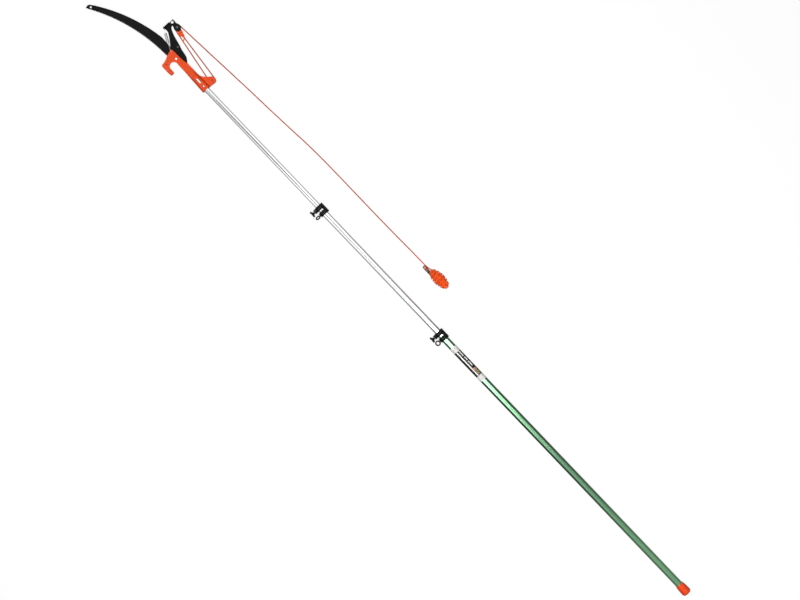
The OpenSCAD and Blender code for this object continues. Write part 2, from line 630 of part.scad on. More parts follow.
// Sheave with a round groove for the rope
groove_r = rope_r + sheave_gap;
module sheave(at) at_head(lever_mid) translate(at) difference() {
    rotate_extrude() polygon(concat([[sheave_pin_d / 2 + pin_play, -sheave_w / 2]],
        [[sheave_od / 2 - 0.6, -sheave_w / 2], [sheave_od / 2, 0.6 - sheave_w / 2],
        [sheave_od / 2, -groove_r]],
        arc([pitch_r, 0], groove_r, 270, 90, 10),
        [[sheave_od / 2, groove_r], [sheave_od / 2, sheave_w / 2 - 0.6],
        [sheave_od / 2 - 0.6, sheave_w / 2], [sheave_pin_d / 2 + pin_play, sheave_w / 2]]));
    for (a = [0:60:300]) rotate([0, 0, a]) translate([(sheave_pin_d / 2 + pitch_r - groove_r) / 2, 0, 0])
        cylinder(d = 1.6, h = sheave_w + 2 * cut, center = true, $fn = 16);
}
module pin_z(at, z0, z1, d, head_r, head_t) at_head() union() {
    rod_z(at, z0, z1, d / 2);
    rod_z(at, z1, z1 + head_t, head_r);
    rod_z(at, z0 - head_t, z0, head_r);
}
module lower_sheave() color("black") sheave(lower_sheave_at);
module upper_sheave() color("black") sheave(upper_sheave_at);
module lower_sheave_pin() color("dimgray") difference() {
    pin_z(lower_sheave_at, lobe_back, lobe_front, sheave_pin_d, sheave_pin_d / 2 + 1.4, 1.2);
    at_head() rod_z(lower_sheave_at, lobe_front - 1, lobe_front + 1.2 + cut, sheave_pin_d / 4);
}
module upper_sheave_pin() color("dimgray")
    pin_z(upper_sheave_at, block_back, block_front, sheave_pin_d, sheave_pin_d / 2 + 1.4, 1.2);
module becket_pin() color("dimgray")
    pin_z(becket_at, block_back, block_front, becket_pin_d, becket_pin_d / 2 + 1.2, 1);

// Pulley block: two cheeks that hang from the eyelet on the lever's corner
block_neck_r = 6.6;
block_mid_r = 10.6;
block_foot_r = 4.4;
module block_cheek(z) translate([0, 0, z]) difference() {
    linear_extrude(cheek_t) union() {
        hull() {
            translate(eyelet_at) circle(r = block_neck_r, $fn = 32);
            translate(upper_sheave_at) circle(r = block_mid_r, $fn = 32);
        }
        hull() {
            translate(upper_sheave_at) circle(r = block_mid_r, $fn = 32);
            translate(becket_at) circle(r = block_foot_r, $fn = 32);
        }
    }
    rod_z(eyelet_at, -cut, cheek_t + cut, eyelet_od / 2);
    rod_z(upper_sheave_at, -cut, cheek_t + cut, sheave_pin_d / 2);
    rod_z(becket_at, -cut, cheek_t + cut, becket_pin_d / 2);
}
module block_cheeks() color("#1c1c1e") at_head() {
    block_cheek(block_front - cheek_t);
    block_cheek(block_back);
}
module block_washers() color("silver") at_head() for (side = [-1, 1]) difference() {
    faces = [lever_mid + side * (lever_t / 2 + sheave_gap), lever_mid + side * cheek_in];
    rod_z(eyelet_at, min(faces), max(faces), eyelet_od / 2 + 1.8);
    rod_z(eyelet_at, min(faces) - cut, max(faces) + cut, eyelet_od / 2);
}
module block_eyelet() color("silver") difference() {
    pin_z(eyelet_at, block_back, block_front, eyelet_od, eyelet_od / 2 + 0.7, 0.8);
    at_head() rod_z(eyelet_at, block_back - 2, block_front + 2, eyelet_bore / 2);
}

// Rope of the tackle: the knot at the becket, two straight strands and a wrap on each sheave
module rope_knot() color("orangered") at_head(lever_mid) union() {
    hull() for (turn = [-rope_r, rope_r])
        translate(knot_at + turn * becket_dir) sphere(d = knot_d - rope_d, $fn = 20);
    translate(becket_at) rotate_extrude($fn = 24)
        polygon(arc([becket_pin_d / 2 + rope_r + 0.4, 0], rope_r, 0, 315, 7));
}
module rope_wrap(at, from, sweep_angle) color("orangered") at_head(lever_mid) translate(at)
    rotate([0, 0, from]) rotate_extrude(angle = sweep_angle) translate([pitch_r, 0])
        circle(r = rope_r, $fn = 24);
module strand(p, q) color("orangered") at_head(lever_mid) translate(p)
    rotate([0, 0, atan2(q[1] - p[1], q[0] - p[0])]) rotate([0, 90, 0])
        cylinder(r = rope_r, h = norm(q - p), $fn = 24);
module upper_rope_wrap() rope_wrap(upper_sheave_at, pull_angle, (lift_angle - pull_angle + 720) % 360);
module lower_rope_wrap() rope_wrap(lower_sheave_at, lift_angle, (becket_angle - lift_angle + 720) % 360);
module becket_strand() strand(becket_top, becket_foot);
module lift_strand() strand(lift_top, lift_foot);
module pull_rope() color("orangered") sweep(smooth(route, route_steps), rope_r, 8);

// Spring: a hook round the pin on the body, a leg, the curls, and a leg through the flange
hook_r = spring_pin_d / 2 + 0.35 + wire_d / 2;
spring_far = [lever_top - flange_t / 2, flange_hole_y];
hook_angle = touch_angle(spring_pin_at, hook_r, spring_far, 1);
spring_near = on_circle(spring_pin_at, hook_r, hook_angle);
spring_dir = unit(spring_far - spring_near);
spring_side = [-spring_dir[1], spring_dir[0]];
spring_leg = 0.58 * (norm(spring_far - spring_near) - curls * curl_step);
function along_spring(s, r, a) =
    at_z(spring_near + s * spring_dir + r * cos(a) * spring_side, r * sin(a));
curl_rings = 8;
spring_points = concat(
    [for (i = [0:9]) at_z(on_circle(spring_pin_at, hook_r, hook_angle + 270 * (1 - i / 10)), 0)],
    [along_spring(0, 0, 0), along_spring(spring_leg - 2, 0, 0)],
    [for (i = [0:curls * curl_rings]) let(turn = i / curl_rings)
        along_spring(spring_leg + turn * curl_step,
            curl_d / 2 * min(1, turn / 0.5, (curls - turn) / 0.5), 360 * turn)],
    [along_spring(spring_leg + curls * curl_step + 2, 0, 0), at_z(spring_far + 3.5 * spring_dir, 0),
        at_z(spring_far + 5 * spring_dir, 1.2), at_z(spring_far + 5.4 * spring_dir, 3.6)]);
module return_spring() {
    echo(spring_least_gap = least_gap(spring_points, wire_d, 5));
    color("silver") at_head(spring_z) sweep(spring_points, wire_d / 2, 6);
}
module spring_pin() color("silver") at_head() union() {
    rod_z(spring_pin_at, 1, plate_t + 3, spring_pin_d / 2);
    rod_z(spring_pin_at, plate_t + 3, plate_t + 4.2, spring_pin_d / 2 + 1.2);
}

// Hank: loops that spiral in and out again in four layers, with each climb along a run,
// and the cord tab between the second layer and the third
loop_rings = 24;
layers = 4;
turn_step = rope_d + turn_gap;
tab_room = tab_t + 2 * 0.3 - turn_gap;
hank_loops = layers * layer_loops;
function layer_z(k) = rope_floor + k * turn_step + (k > 1 ? tab_room : 0);
function fold_radius(u) = let(k = min(layers - 1, floor(u / layer_loops)), v = u - k * layer_loops,
        inner = hank_fold - turn_step * layer_loops, w = max(0, v - 0.25))
    k == 0 ? hank_fold - turn_step * v : k % 2 == 1 ? inner + turn_step * w :
    inner + turn_step * (layer_loops - 0.25 - w);
function loop_z(u) = let(k = min(layers - 1, floor(u / layer_loops)), f = (u - k * layer_loops) * 4)
    k == 0 || f >= 1 ? layer_z(k) : layer_z(k - 1) + (layer_z(k) - layer_z(k - 1)) * (3 - 2 * f) * f * f;
function drawn_in(x) = waist * (1 + cos(180 * x / hank_run)) / 2;
function hank_point(i) = let(u = i / loop_rings, r = fold_radius(u), q = floor(u * 4) % 4,
        f = u * 4 - floor(u * 4), x = hank_run * (1 - 2 * f), z = loop_z(u))
    q == 0 ? [x, drawn_in(x) - r, z] : q == 1 ? [-hank_run - r * sin(180 * f), -r * cos(180 * f), z] :
    q == 2 ? [-x, r - drawn_in(x), z] : [hank_run + r * sin(180 * f), r * cos(180 * f), z];
hank_points = [for (i = [0:hank_loops * loop_rings - 1]) hank_point(i) + at_z(hank_at, 0)];
hank_last = at_z(hank_at + [hank_run, -fold_radius(hank_loops)], layer_z(layers - 1));
module rope_hank() {
    points = concat([at_z(hank_start + [rope_d, 0], rope_floor)], hank_points,
        [hank_last, hank_last - [rope_d, 0, 0]]);
    echo(hank_least_gap = least_gap(points, rope_d, 8));
    color("orangered") sweep(points, rope_r, 6);
}
// Flat tab with two slots, gripped between the loops, with its end out of the hank
tab_out = 26;
tab_side = 1;
module cord_tab() {
    tab_z = layer_z(1) + rope_r + 0.3;
    tab_end = hank_at[0] + hank_run + hank_fold + tab_out;
    color("#20302a") translate([tab_end - tab_len, hank_at[1] + tab_side, tab_z]) difference() {
        union() {
            cube([tab_len - tab_w / 4, tab_w, tab_t]);
            translate([tab_len - tab_w / 2, tab_w / 4, 0]) cube([tab_w / 2, tab_w / 2, tab_t]);
            for (y = [tab_w / 4, tab_w * 3 / 4])
                translate([tab_len - tab_w / 4, y, 0]) cylinder(r = tab_w / 4, h = tab_t);
        }
        for (x = [tab_len - 22, tab_len - 10])
            translate([x, tab_w / 4, -cut]) cube([7, tab_w / 2, tab_t + 2 * cut]);
    }
}

outer_tube();
end_cap();
pole_label();
lower_clamp_sleeve();
lower_clamp_inserts();
lower_wing_knob();
lower_wing_stud();
lower_eye_screw();
middle_tube();
middle_guide_bush();
upper_clamp_sleeve();
upper_clamp_inserts();
upper_wing_knob();
upper_wing_stud();
upper_eye_screw();
upper_tube();
upper_guide_bush();
head_body();
head_screws();
saw_blade();
saw_screws();
pivot_bolt();
pivot_nut();
lower_sheave();
lower_sheave_pin();
spring_pin();
return_spring();
lever_plate();
cutting_blade();
blade_rivets();
block_cheeks();
block_washers();
block_eyelet();
upper_sheave();
upper_sheave_pin();
becket_pin();
rope_knot();
upper_rope_wrap();
lower_rope_wrap();
becket_strand();
lift_strand();
pull_rope();
rope_hank();
cord_tab();
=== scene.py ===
# Tree pruner pole lying on a pale floor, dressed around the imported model.
# Metres: the pole runs along +X from its butt, +Z is up, and the hook is on the +Y side.
import json
import math

import bmesh
import bpy
import numpy as np
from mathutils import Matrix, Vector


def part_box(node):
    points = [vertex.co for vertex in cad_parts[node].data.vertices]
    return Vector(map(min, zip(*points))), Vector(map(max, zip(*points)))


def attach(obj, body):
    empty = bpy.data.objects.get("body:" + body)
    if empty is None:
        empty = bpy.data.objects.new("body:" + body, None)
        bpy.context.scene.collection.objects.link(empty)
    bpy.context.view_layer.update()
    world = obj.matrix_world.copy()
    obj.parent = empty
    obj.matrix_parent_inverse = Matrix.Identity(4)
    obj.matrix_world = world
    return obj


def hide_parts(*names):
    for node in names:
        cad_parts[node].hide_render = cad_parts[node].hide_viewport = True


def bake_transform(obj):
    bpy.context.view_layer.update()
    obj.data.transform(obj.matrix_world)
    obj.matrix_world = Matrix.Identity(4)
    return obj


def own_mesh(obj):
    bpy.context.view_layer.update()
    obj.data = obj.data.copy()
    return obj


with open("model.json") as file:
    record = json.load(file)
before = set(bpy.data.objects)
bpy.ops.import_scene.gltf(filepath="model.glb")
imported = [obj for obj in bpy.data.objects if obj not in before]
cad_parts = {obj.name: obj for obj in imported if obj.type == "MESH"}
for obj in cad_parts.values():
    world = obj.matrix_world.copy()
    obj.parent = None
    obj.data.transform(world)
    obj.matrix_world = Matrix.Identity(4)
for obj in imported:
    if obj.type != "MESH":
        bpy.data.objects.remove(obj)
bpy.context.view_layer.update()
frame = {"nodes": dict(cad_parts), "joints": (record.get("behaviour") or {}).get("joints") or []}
mm = 0.001
up = np.array([0.0, 0, 1])
jointAt = {j["name"]: np.array(j["pos_m"], float) for j in frame["joints"] if j.get("pos_m")}
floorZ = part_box("end_cap")[0][2]
print("frame loaded:", len(frame["nodes"]), "nodes")


# node helpers

def plug(tree, socket, source):
    # a socket takes a link or a plain value
    if isinstance(source, bpy.types.NodeSocket):
        tree.links.new(source, socket)
    else:
        socket.default_value = source


def node(tree, kind, links=(), **settings):
    # a new node with its settings, and its sockets plugged
    made = tree.nodes.new(kind)
    for key, value in settings.items():
        setattr(made, key, value)
    for socket, source in dict(links).items():
        plug(tree, made.inputs[socket], source)
    return made


def calc(tree, operation, a, b=0.0):
    # one sum on links or plain values
    return node(tree, "ShaderNodeMath", {0: a, 1: b}, operation=operation).outputs[0]


def remap(tree, value, low, high, toLow, toHigh, kind="LINEAR"):
    # a value moved from one range to another
    links = {0: value, 1: low, 2: high, 3: toLow, 4: toHigh}
    return node(tree, "ShaderNodeMapRange", links, interpolation_type=kind).outputs[0]


# camera, floor and light

viewSet = dict(over=(1.4258, 0.0190), width=2.776, lens=85, sensor=36, right=(-0.6906, -0.7232))
floorSet = dict(size=60.0, below=0.1 * mm, colour=(0.2, 0.2, 0.2), rough=0.9, glow=0.825)
lampSet = dict(overhead=dict(at=(1.45, 0.25, 3.0), aim=(1.45, 0, 0), size=(4.6, 1.7), power=105),
               fill=dict(at=(1.45, 0.4, 4.6), aim=(1.45, 0, 0), size=(9.0, 9.0), power=130))

# what shiny pieces reflect: brightness by the angle across the pole (degrees, -Y to +Y), in rows by the
# lean along it
tentRows = [
    dict(lean=-0.2, stops=[
        (-180, 0.5), (-150, 0.4), (-110, 0.36), (-75, 0.42), (-40, 0.68), (0, 0.76), (30, 0.84), (60, 0.58),
        (85, 0.3), (120, 0.28), (150, 0.4), (180, 0.5)]),
    dict(lean=-0.115, stops=[
        (-180, 0.4), (-150, 0.25), (-110, 0.14), (-75, 0.18), (-45, 0.4), (-13, 0.54), (22, 0.74),
        (45, 0.64), (65, 0.22), (82, 0.05), (120, 0.05), (150, 0.25), (180, 0.4)]),
    dict(lean=-0.075, stops=[
        (-180, 0.4), (-150, 0.25), (-110, 0.12), (-84, 0.13), (-60, 0.3), (-44, 0.9), (-20, 1.7), (0, 1.9),
        (18, 2.2), (36, 2.4), (46, 2.2), (55, 1.3), (66, 0.12), (92, 0.05), (130, 0.05), (155, 0.3),
        (180, 0.4)]),
    dict(lean=-0.06, stops=[
        (-180, 0.4), (-150, 0.25), (-110, 0.12), (-84, 0.13), (-60, 0.3), (-40, 0.8), (-34, 1.8),
        (-31, 8.0), (-21, 8.0), (-18, 2.4), (16, 2.4), (19, 10.0), (33, 10.0), (37, 2.8), (47, 2.6),
        (57, 1.6), (66, 0.12), (92, 0.05), (130, 0.05), (155, 0.3), (180, 0.4)]),
    dict(lean=-0.03, stops=[
        (-180, 0.4), (-150, 0.25), (-110, 0.12), (-84, 0.13), (-60, 0.3), (-40, 0.6), (-34, 3.0),
        (-31, 26.0), (-20, 26.0), (-17, 4.2), (18, 4.2), (21, 28.0), (33, 28.0), (36, 4.8), (52, 4.2),
        (60, 2.8), (66, 0.12), (92, 0.05), (130, 0.05), (155, 0.3), (180, 0.4)]),
    dict(lean=-0.022, stops=[
        (-180, 0.8), (-150, 0.75), (-132, 0.3), (-100, 0.3), (-80, 0.38), (-62, 0.65), (-44, 1.0),
        (-34, 1.05), (-32, 3.0), (-22, 3.0), (-20, 1.05), (20, 1.05), (22, 3.0), (32, 3.0), (34, 1.1),
        (58, 1.02), (76, 0.62), (92, 0.36), (112, 0.2), (138, 0.24), (155, 0.75), (180, 0.8)]),
    dict(lean=0.03, stops=[
        (-180, 0.8), (-150, 0.75), (-134, 0.32), (-100, 0.34), (-80, 0.5), (-60, 0.85), (-44, 1.15),
        (-34, 1.15), (-32, 2.6), (-22, 2.6), (-20, 1.05), (-6, 0.8), (12, 0.75), (26, 0.85), (36, 1.1),
        (60, 1.02), (80, 0.7), (100, 0.42), (134, 0.34), (155, 0.75), (180, 0.8)]),
    dict(lean=0.065, stops=[
        (-180, 0.8), (-155, 0.75), (-134, 0.34), (-106, 0.4), (-80, 0.8), (-52, 1.3), (-44, 5.0),
        (-34, 5.0), (-30, 1.3), (-22, 1.1), (-8, 0.6), (0, 0.45), (18, 0.4), (26, 0.6), (36, 1.1),
        (40, 4.0), (48, 4.0), (52, 1.05), (60, 1.02), (80, 0.8), (100, 0.44), (134, 0.36), (155, 0.75),
        (180, 0.8)]),
    dict(lean=0.105, stops=[
        (-180, 0.8), (-155, 0.75), (-134, 0.36), (-106, 0.45), (-80, 0.95), (-47, 1.35), (-22, 1.1),
        (-8, 0.4), (0, 0.16), (18, 0.16), (26, 0.45), (38, 1.05), (60, 1.08), (80, 0.9), (100, 0.45),
        (134, 0.36), (155, 0.75), (180, 0.8)]),
    dict(lean=0.146, stops=[
        (-180, 0.8), (-155, 0.75), (-134, 0.38), (-106, 0.45), (-78, 1.0), (-47, 1.45), (-22, 1.1),
        (-8, 0.22), (0, 0.04), (20, 0.04), (27, 0.3), (36, 0.52), (60, 0.56), (85, 0.52), (104, 0.45),
        (134, 0.36), (155, 0.75), (180, 0.8)]),
    dict(lean=0.158, stops=[
        (-180, 0.5), (-120, 0.2), (-85, 0.25), (-50, 1.2), (0, 1.8), (50, 1.2), (85, 0.25), (120, 0.2),
        (180, 0.5)])]


def placeCamera(s):
    # looks straight down, with the pole from the lower right to the upper left
    data = bpy.data.cameras.new("camera")
    data.lens = s["lens"]
    data.sensor_width = s["sensor"]
    data.sensor_fit = "HORIZONTAL"
    camera = bpy.data.objects.new("camera", data)
    bpy.context.collection.objects.link(camera)
    camera.location = (*s["over"], s["width"] * s["lens"] / s["sensor"])
    camera.rotation_euler = (0, 0, math.atan2(s["right"][1], s["right"][0]))
    bpy.context.scene.camera = camera


def areaLamp(name, at, aim, size, power):
    # lights matt surfaces only, because what shiny ones reflect comes from the tent
    data = bpy.data.lights.new(name, "AREA")
    data.shape = "RECTANGLE"
    data.size, data.size_y = size
    data.energy = power
    lamp = bpy.data.objects.new(name, data)
    bpy.context.collection.objects.link(lamp)
    lamp.location = at
    direction = lamp.location.copy()
    direction[:] = [a - b for a, b in zip(aim, at)]
    lamp.rotation_euler = direction.to_track_quat("-Z", "Y").to_euler()
    lamp.visible_camera = False
    lamp.visible_glossy = False


def tentRow(tree, share, stops):
    # a ramp from stop to stop, in shares of its brightest level
    top = max(level for degrees, level in stops)
    ramp = node(tree, "ShaderNodeValToRGB", {"Fac": share})
    marks = ramp.color_ramp.elements
    while len(marks) < len(stops):
        marks.new(0.5)
    for mark, (degrees, level) in zip(marks, stops):
        mark.position = degrees / 360 + 0.5
        mark.color = (level / top, level / top, level / top, 1)
    return calc(tree, "MULTIPLY", ramp.outputs["Color"], top)


def hangTent(rows, backdrop=0.98):
    # brightness = row by the angle across, blended from row to row by the direction's X; plain to the camera
    world = bpy.data.worlds.new("studio")
    bpy.context.scene.world = world
    world.use_nodes = True
    world.cycles_visibility.diffuse = False
    tree = world.node_tree
    coord = tree.nodes.new("ShaderNodeTexCoord")
    parts = node(tree, "ShaderNodeSeparateXYZ", {0: coord.outputs["Generated"]}).outputs
    share = remap(tree, calc(tree, "ARCTAN2", parts["Y"], parts["Z"]), -math.pi, math.pi, 0.0, 1.0)
    level = tentRow(tree, share, rows[0]["stops"])
    for before, row in zip(rows, rows[1:]):
        blend = remap(tree, parts["X"], before["lean"], row["lean"], 0.0, 1.0, "SMOOTHSTEP")
        nextLevel = tentRow(tree, share, row["stops"])
        level = node(tree, "ShaderNodeMix", {0: blend, 2: level, 3: nextLevel}).outputs[0]
    seen = tree.nodes.new("ShaderNodeLightPath").outputs["Is Camera Ray"]
    level = node(tree, "ShaderNodeMix", {0: seen, 2: level, 3: backdrop}).outputs[0]
    tree.links.new(level, tree.nodes["Background"].inputs["Color"])


def layFloor(s):
    # a wide sheet just under the part, pale by its own glow
    mesh = bpy.data.meshes.new("floor")
    half = s["size"] / 2
    square = ((-half, -half), (half, -half), (half, half), (-half, half))
    mesh.from_pydata([(x, y, floorZ - s["below"]) for x, y in square], [], [(0, 1, 2, 3)])
    floor = bpy.data.objects.new("floor", mesh)
    bpy.context.collection.objects.link(floor)
    material = bpy.data.materials.new("pale floor")
    material.use_nodes = True
    shader = material.node_tree.nodes["Principled BSDF"]
    shader.inputs["Base Color"].default_value = (*s["colour"], 1)
    shader.inputs["Roughness"].default_value = s["rough"]
    shader.inputs["Specular IOR Level"].default_value = 0.0
    shader.inputs["Emission Color"].default_value = (1, 1, 1, 1)
    shader.inputs["Emission Strength"].default_value = s["glow"]
    mesh.materials.append(material)
    floor.visible_diffuse = False  # the sides of the part see the dim room, not the floor
    floor.visible_glossy = False


bpy.context.scene.view_settings.view_transform = "Standard"
placeCamera(viewSet)
for lampName, settings in lampSet.items():
    areaLamp(lampName, **settings)
hangTent(tentRows)
layFloor(floorSet)
print("camera, lights and floor placed")


# shapes on grids

def unit(v):
    # vectors divided by their lengths
    return v / np.linalg.norm(v, axis=-1, keepdims=True)


def smoothRoute(points, steps):
    # Catmull-Rom: each stretch is a cubic through its two points, with slopes from their neighbours
    p = np.vstack([points[:1], points, points[-1:]])
    t = (np.arange(steps) / steps)[None, :, None]
    a, b, c, d = (p[i:len(p) - 3 + i, None] for i in range(4))
    bend = (2 * a - 5 * b + 4 * c - d) * t**2 + (3 * b - a - 3 * c + d) * t**3
    run = 0.5 * (2 * b + (c - a) * t + bend)
    return np.vstack([run.reshape(-1, 3), points[-1:]])


def lengthAlong(path):
    # the sum of the steps up to each point
    return np.concatenate([[0], np.cumsum(np.linalg.norm(np.diff(path, axis=0), axis=1))])


def evenPath(path, step):
    # the same line, cut into equal steps
    s = lengthAlong(path)
    even = np.linspace(0, s[-1], max(3, int(round(s[-1] / step)) + 1))
    return np.stack([np.interp(even, s, path[:, k]) for k in range(3)], axis=1)


def tubeGrid(path, radius, sides, reference):
    # rings round a path: centre + radius(ring, angle) * (cos * normal + sin * binormal)
    tangent = unit(np.gradient(path, axis=0))
    reference = np.broadcast_to(reference, path.shape)
    normal = unit(reference - np.sum(reference * tangent, axis=1, keepdims=True) * tangent)
    binormal = np.cross(tangent, normal)
    angle = (np.arange(sides) * 2 * np.pi / sides)[None, :, None]
    around = np.cos(angle) * normal[:, None] + np.sin(angle) * binormal[:, None]
    return path[:, None] + np.broadcast_to(radius, (len(path), sides))[..., None] * around


def gridMesh(name, grid, wrapLong=False, lengths=None):
    # quads over a (long, round) grid of points that closes round, with a UV of (share round, metres along)
    rows, columns = grid.shape[:2]
    i = np.arange(rows if wrapLong else rows - 1)[:, None]
    j = np.arange(columns)[None, :]
    iNext, jNext = (i + 1) % rows, (j + 1) % columns
    corners = [i * columns + j, i * columns + jNext, iNext * columns + jNext, iNext * columns + j]
    faces = np.stack(corners, axis=-1).reshape(-1, 4).tolist()
    if lengths is None:
        lengths = np.arange(rows + 1) * 1.0
    v0, v1 = lengths[i + 0 * j], lengths[np.minimum(i + 1, len(lengths) - 1) + 0 * j]
    u0, u1 = (j + 0 * i) / columns, (j + 1 + 0 * i) / columns
    cornerPairs = ((u0, v0), (u1, v0), (u1, v1), (u0, v1))
    uv = np.stack([np.stack(pair, -1) for pair in cornerPairs], axis=2).reshape(-1, 2)
    if not wrapLong:
        first = np.arange(columns)
        faces += [first[::-1].tolist(), ((rows - 1) * columns + first).tolist()]
        ends = np.repeat([lengths[0], lengths[rows - 1]], columns)
        uv = np.vstack([uv, np.stack([np.tile(first / columns, 2), ends], -1)])
    mesh = bpy.data.meshes.new(name)
    mesh.from_pydata(grid.reshape(-1, 3), [], faces)
    layer = mesh.uv_layers.new(name="along")
    layer.data.foreach_set("uv", uv.astype(np.float32).ravel())
    mesh.polygons.foreach_set("use_smooth", np.ones(len(mesh.polygons), bool))
    mesh.update()
    return mesh


def addPiece(name, mesh, material, body=None, nodes=()):
    # a piece with its finish, riding on a body and standing for CAD nodes
    piece = bpy.data.objects.new(name, mesh)
    bpy.context.collection.objects.link(piece)
    mesh.materials.clear()
    mesh.materials.append(material)
    if body:
        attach(piece, body)
    if nodes:
        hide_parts(*nodes)
    return piece


def joinMeshes(name, meshes):
    # several closed shells in one mesh, with their UV kept
    joined = bmesh.new()
    for part in meshes:
        joined.from_mesh(part)
    mesh = bpy.data.meshes.new(name)
    joined.to_mesh(mesh)
    joined.free()
    return mesh


# shader groups

def newGroup(name, inputs, outputs):
    # an empty group: inputs without a value are vectors, all else is numbers
    tree = bpy.data.node_groups.new(name, "ShaderNodeTree")
    for label, value in inputs.items():
        kind = "NodeSocketVector" if value is None else "NodeSocketFloat"
        socket = tree.interface.new_socket(name=label, in_out="INPUT", socket_type=kind)
        if value is not None:
            socket.default_value = value
    for label in outputs:
        tree.interface.new_socket(name=label, in_out="OUTPUT", socket_type="NodeSocketFloat")
    return tree, tree.nodes.new("NodeGroupInput").outputs, tree.nodes.new("NodeGroupOutput").inputs


def noiseOf(tree, vector, scale, detail=2.0, roughness=0.5):
    # soft noise from 0 to 1
    links = {"Vector": vector, "Scale": scale, "Detail": detail, "Roughness": roughness}
    return node(tree, "ShaderNodeTexNoise", links).outputs["Fac"]


def mixColour(tree, factor, a, b):
    # from colour a to colour b by a factor
    made = node(tree, "ShaderNodeMix", data_type="RGBA")
    for k, source in ((0, factor), (6, a), (7, b)):
        plug(tree, made.inputs[k], (*source[:3], 1) if isinstance(source, tuple) else source)
    return made.outputs[2]


def drawnLinesGroup():
    # fine lines along X, as a die leaves on a drawn tube or a grinder on a blade
    tree, given, out = newGroup("drawn lines", {"Vector": None, "Across": 900.0, "Along": 6.0}, ["Line"])
    links = {"X": given["Along"], "Y": given["Across"], "Z": given["Across"]}
    scale = node(tree, "ShaderNodeCombineXYZ", links)
    links = {0: given["Vector"], 1: scale.outputs[0]}
    stretched = node(tree, "ShaderNodeVectorMath", links, operation="MULTIPLY")
    tree.links.new(noiseOf(tree, stretched.outputs[0], 1.0, 3.0, 0.6), out["Line"])
    return tree


def grainGroup():
    # small even bumps of moulded plastic or powder paint, with a slow drift under them
    inputs = {"Vector": None, "Size": 1200.0, "Slow": 30.0}
    tree, given, out = newGroup("moulded grain", inputs, ["Height", "Drift"])
    tree.links.new(noiseOf(tree, given["Vector"], given["Size"]), out["Height"])
    tree.links.new(noiseOf(tree, given["Vector"], given["Slow"], 4.0, 0.55), out["Drift"])
    return tree


scuffSet = dict(cut=(0.66, 0.74), tilt=(0.2, 0.1), strokes=[(0.5, (14, 260, 260)), (-0.9, (240, 18, 240))])


def scuffGroup(s):
    # thin scratches and rubbed specks: two stretched noises, each cut at a threshold
    tree, given, out = newGroup("scuffs", {"Vector": None, "Amount": 0.3}, ["Mask"])
    masks = []
    for turn, stretch in s["strokes"]:
        links = {"Vector": given["Vector"], "Rotation": (*s["tilt"], turn), "Scale": stretch}
        placed = node(tree, "ShaderNodeMapping", links).outputs[0]
        masks.append(remap(tree, noiseOf(tree, placed, 1.0), *s["cut"], 0.0, 1.0))
    both = calc(tree, "MAXIMUM", masks[0], masks[1])
    tree.links.new(calc(tree, "MULTIPLY", both, given["Amount"]), out["Mask"])
    return tree


def plaitGroup():
    # plaited strands over a tube: two crossing sets of slanted lines from its UV
    inputs = {"UV": None, "Strands": 10.0, "Per metre": 220.0}
    tree, given, out = newGroup("rope plait", inputs, ["Crown", "Over"])
    parts = node(tree, "ShaderNodeSeparateXYZ", {0: given["UV"]}).outputs
    around = calc(tree, "MULTIPLY", calc(tree, "MULTIPLY", parts["X"], given["Strands"]), math.pi)
    along = calc(tree, "MULTIPLY", calc(tree, "MULTIPLY", parts["Y"], given["Per metre"]), math.pi)
    left = calc(tree, "ABSOLUTE", calc(tree, "COSINE", calc(tree, "ADD", around, along)))
    right = calc(tree, "ABSOLUTE", calc(tree, "COSINE", calc(tree, "SUBTRACT", around, along)))
    tree.links.new(calc(tree, "MULTIPLY", left, right), out["Crown"])
    tree.links.new(calc(tree, "GREATER_THAN", left, right), out["Over"])
    return tree


drawnLines = drawnLinesGroup()
mouldedGrain = grainGroup()
scuffs = scuffGroup(scuffSet)
ropePlait = plaitGroup()


def useGroup(tree, group, links):
    # a group set into a material, with its sockets plugged
    made = tree.nodes.new("ShaderNodeGroup")
    made.node_tree = group
    for socket, source in links.items():
        plug(tree, made.inputs[socket], source)
    return made.outputs


def newFinish(name, sockets):
    # a material with its plain values set
    material = bpy.data.materials.new(name)
    material.use_nodes = True
    tree = material.node_tree
    shader = tree.nodes["Principled BSDF"].inputs
    for socket, value in sockets.items():
        shader[socket].default_value = value
    return material, tree, shader, tree.nodes.new("ShaderNodeTexCoord").outputs


def bumpInto(tree, shader, height, distance):
    # relief of a height, as deep as the distance
    bump = node(tree, "ShaderNodeBump", {"Height": height, "Distance": distance, "Strength": 1.0})
    tree.links.new(bump.outputs["Normal"], shader["Normal"])


def spread(tree, value, low, high):
    # noise lies mostly between 0.3 and 0.7
    return remap(tree, value, 0.3, 0.7, low, high)


# finishes

def drawnMetal(name, dark, light, rough, across=900.0, along=6.0, metallic=1.0, depth=0.02 * mm, coat=0.0,
               coatRough=0.12, gloss=0.5, wear=0.35, dulls=0.12):
    # metal with lines along the pole, in colour, roughness and relief
    sockets = {"Metallic": metallic, "Coat Weight": coat, "Coat Roughness": coatRough,
               "Specular IOR Level": gloss}
    material, tree, shader, coord = newFinish(name, sockets)
    line = useGroup(tree, drawnLines, {"Vector": coord["Object"], "Across": across, "Along": along})["Line"]
    rub = useGroup(tree, scuffs, {"Vector": coord["Object"], "Amount": wear})["Mask"]
    tree.links.new(mixColour(tree, spread(tree, line, 0.0, 1.0), dark, light), shader["Base Color"])
    dulled = calc(tree, "MULTIPLY", rub, dulls)
    tree.links.new(calc(tree, "ADD", spread(tree, line, *rough), dulled), shader["Roughness"])
    bumpInto(tree, shader, line, depth)
    return material


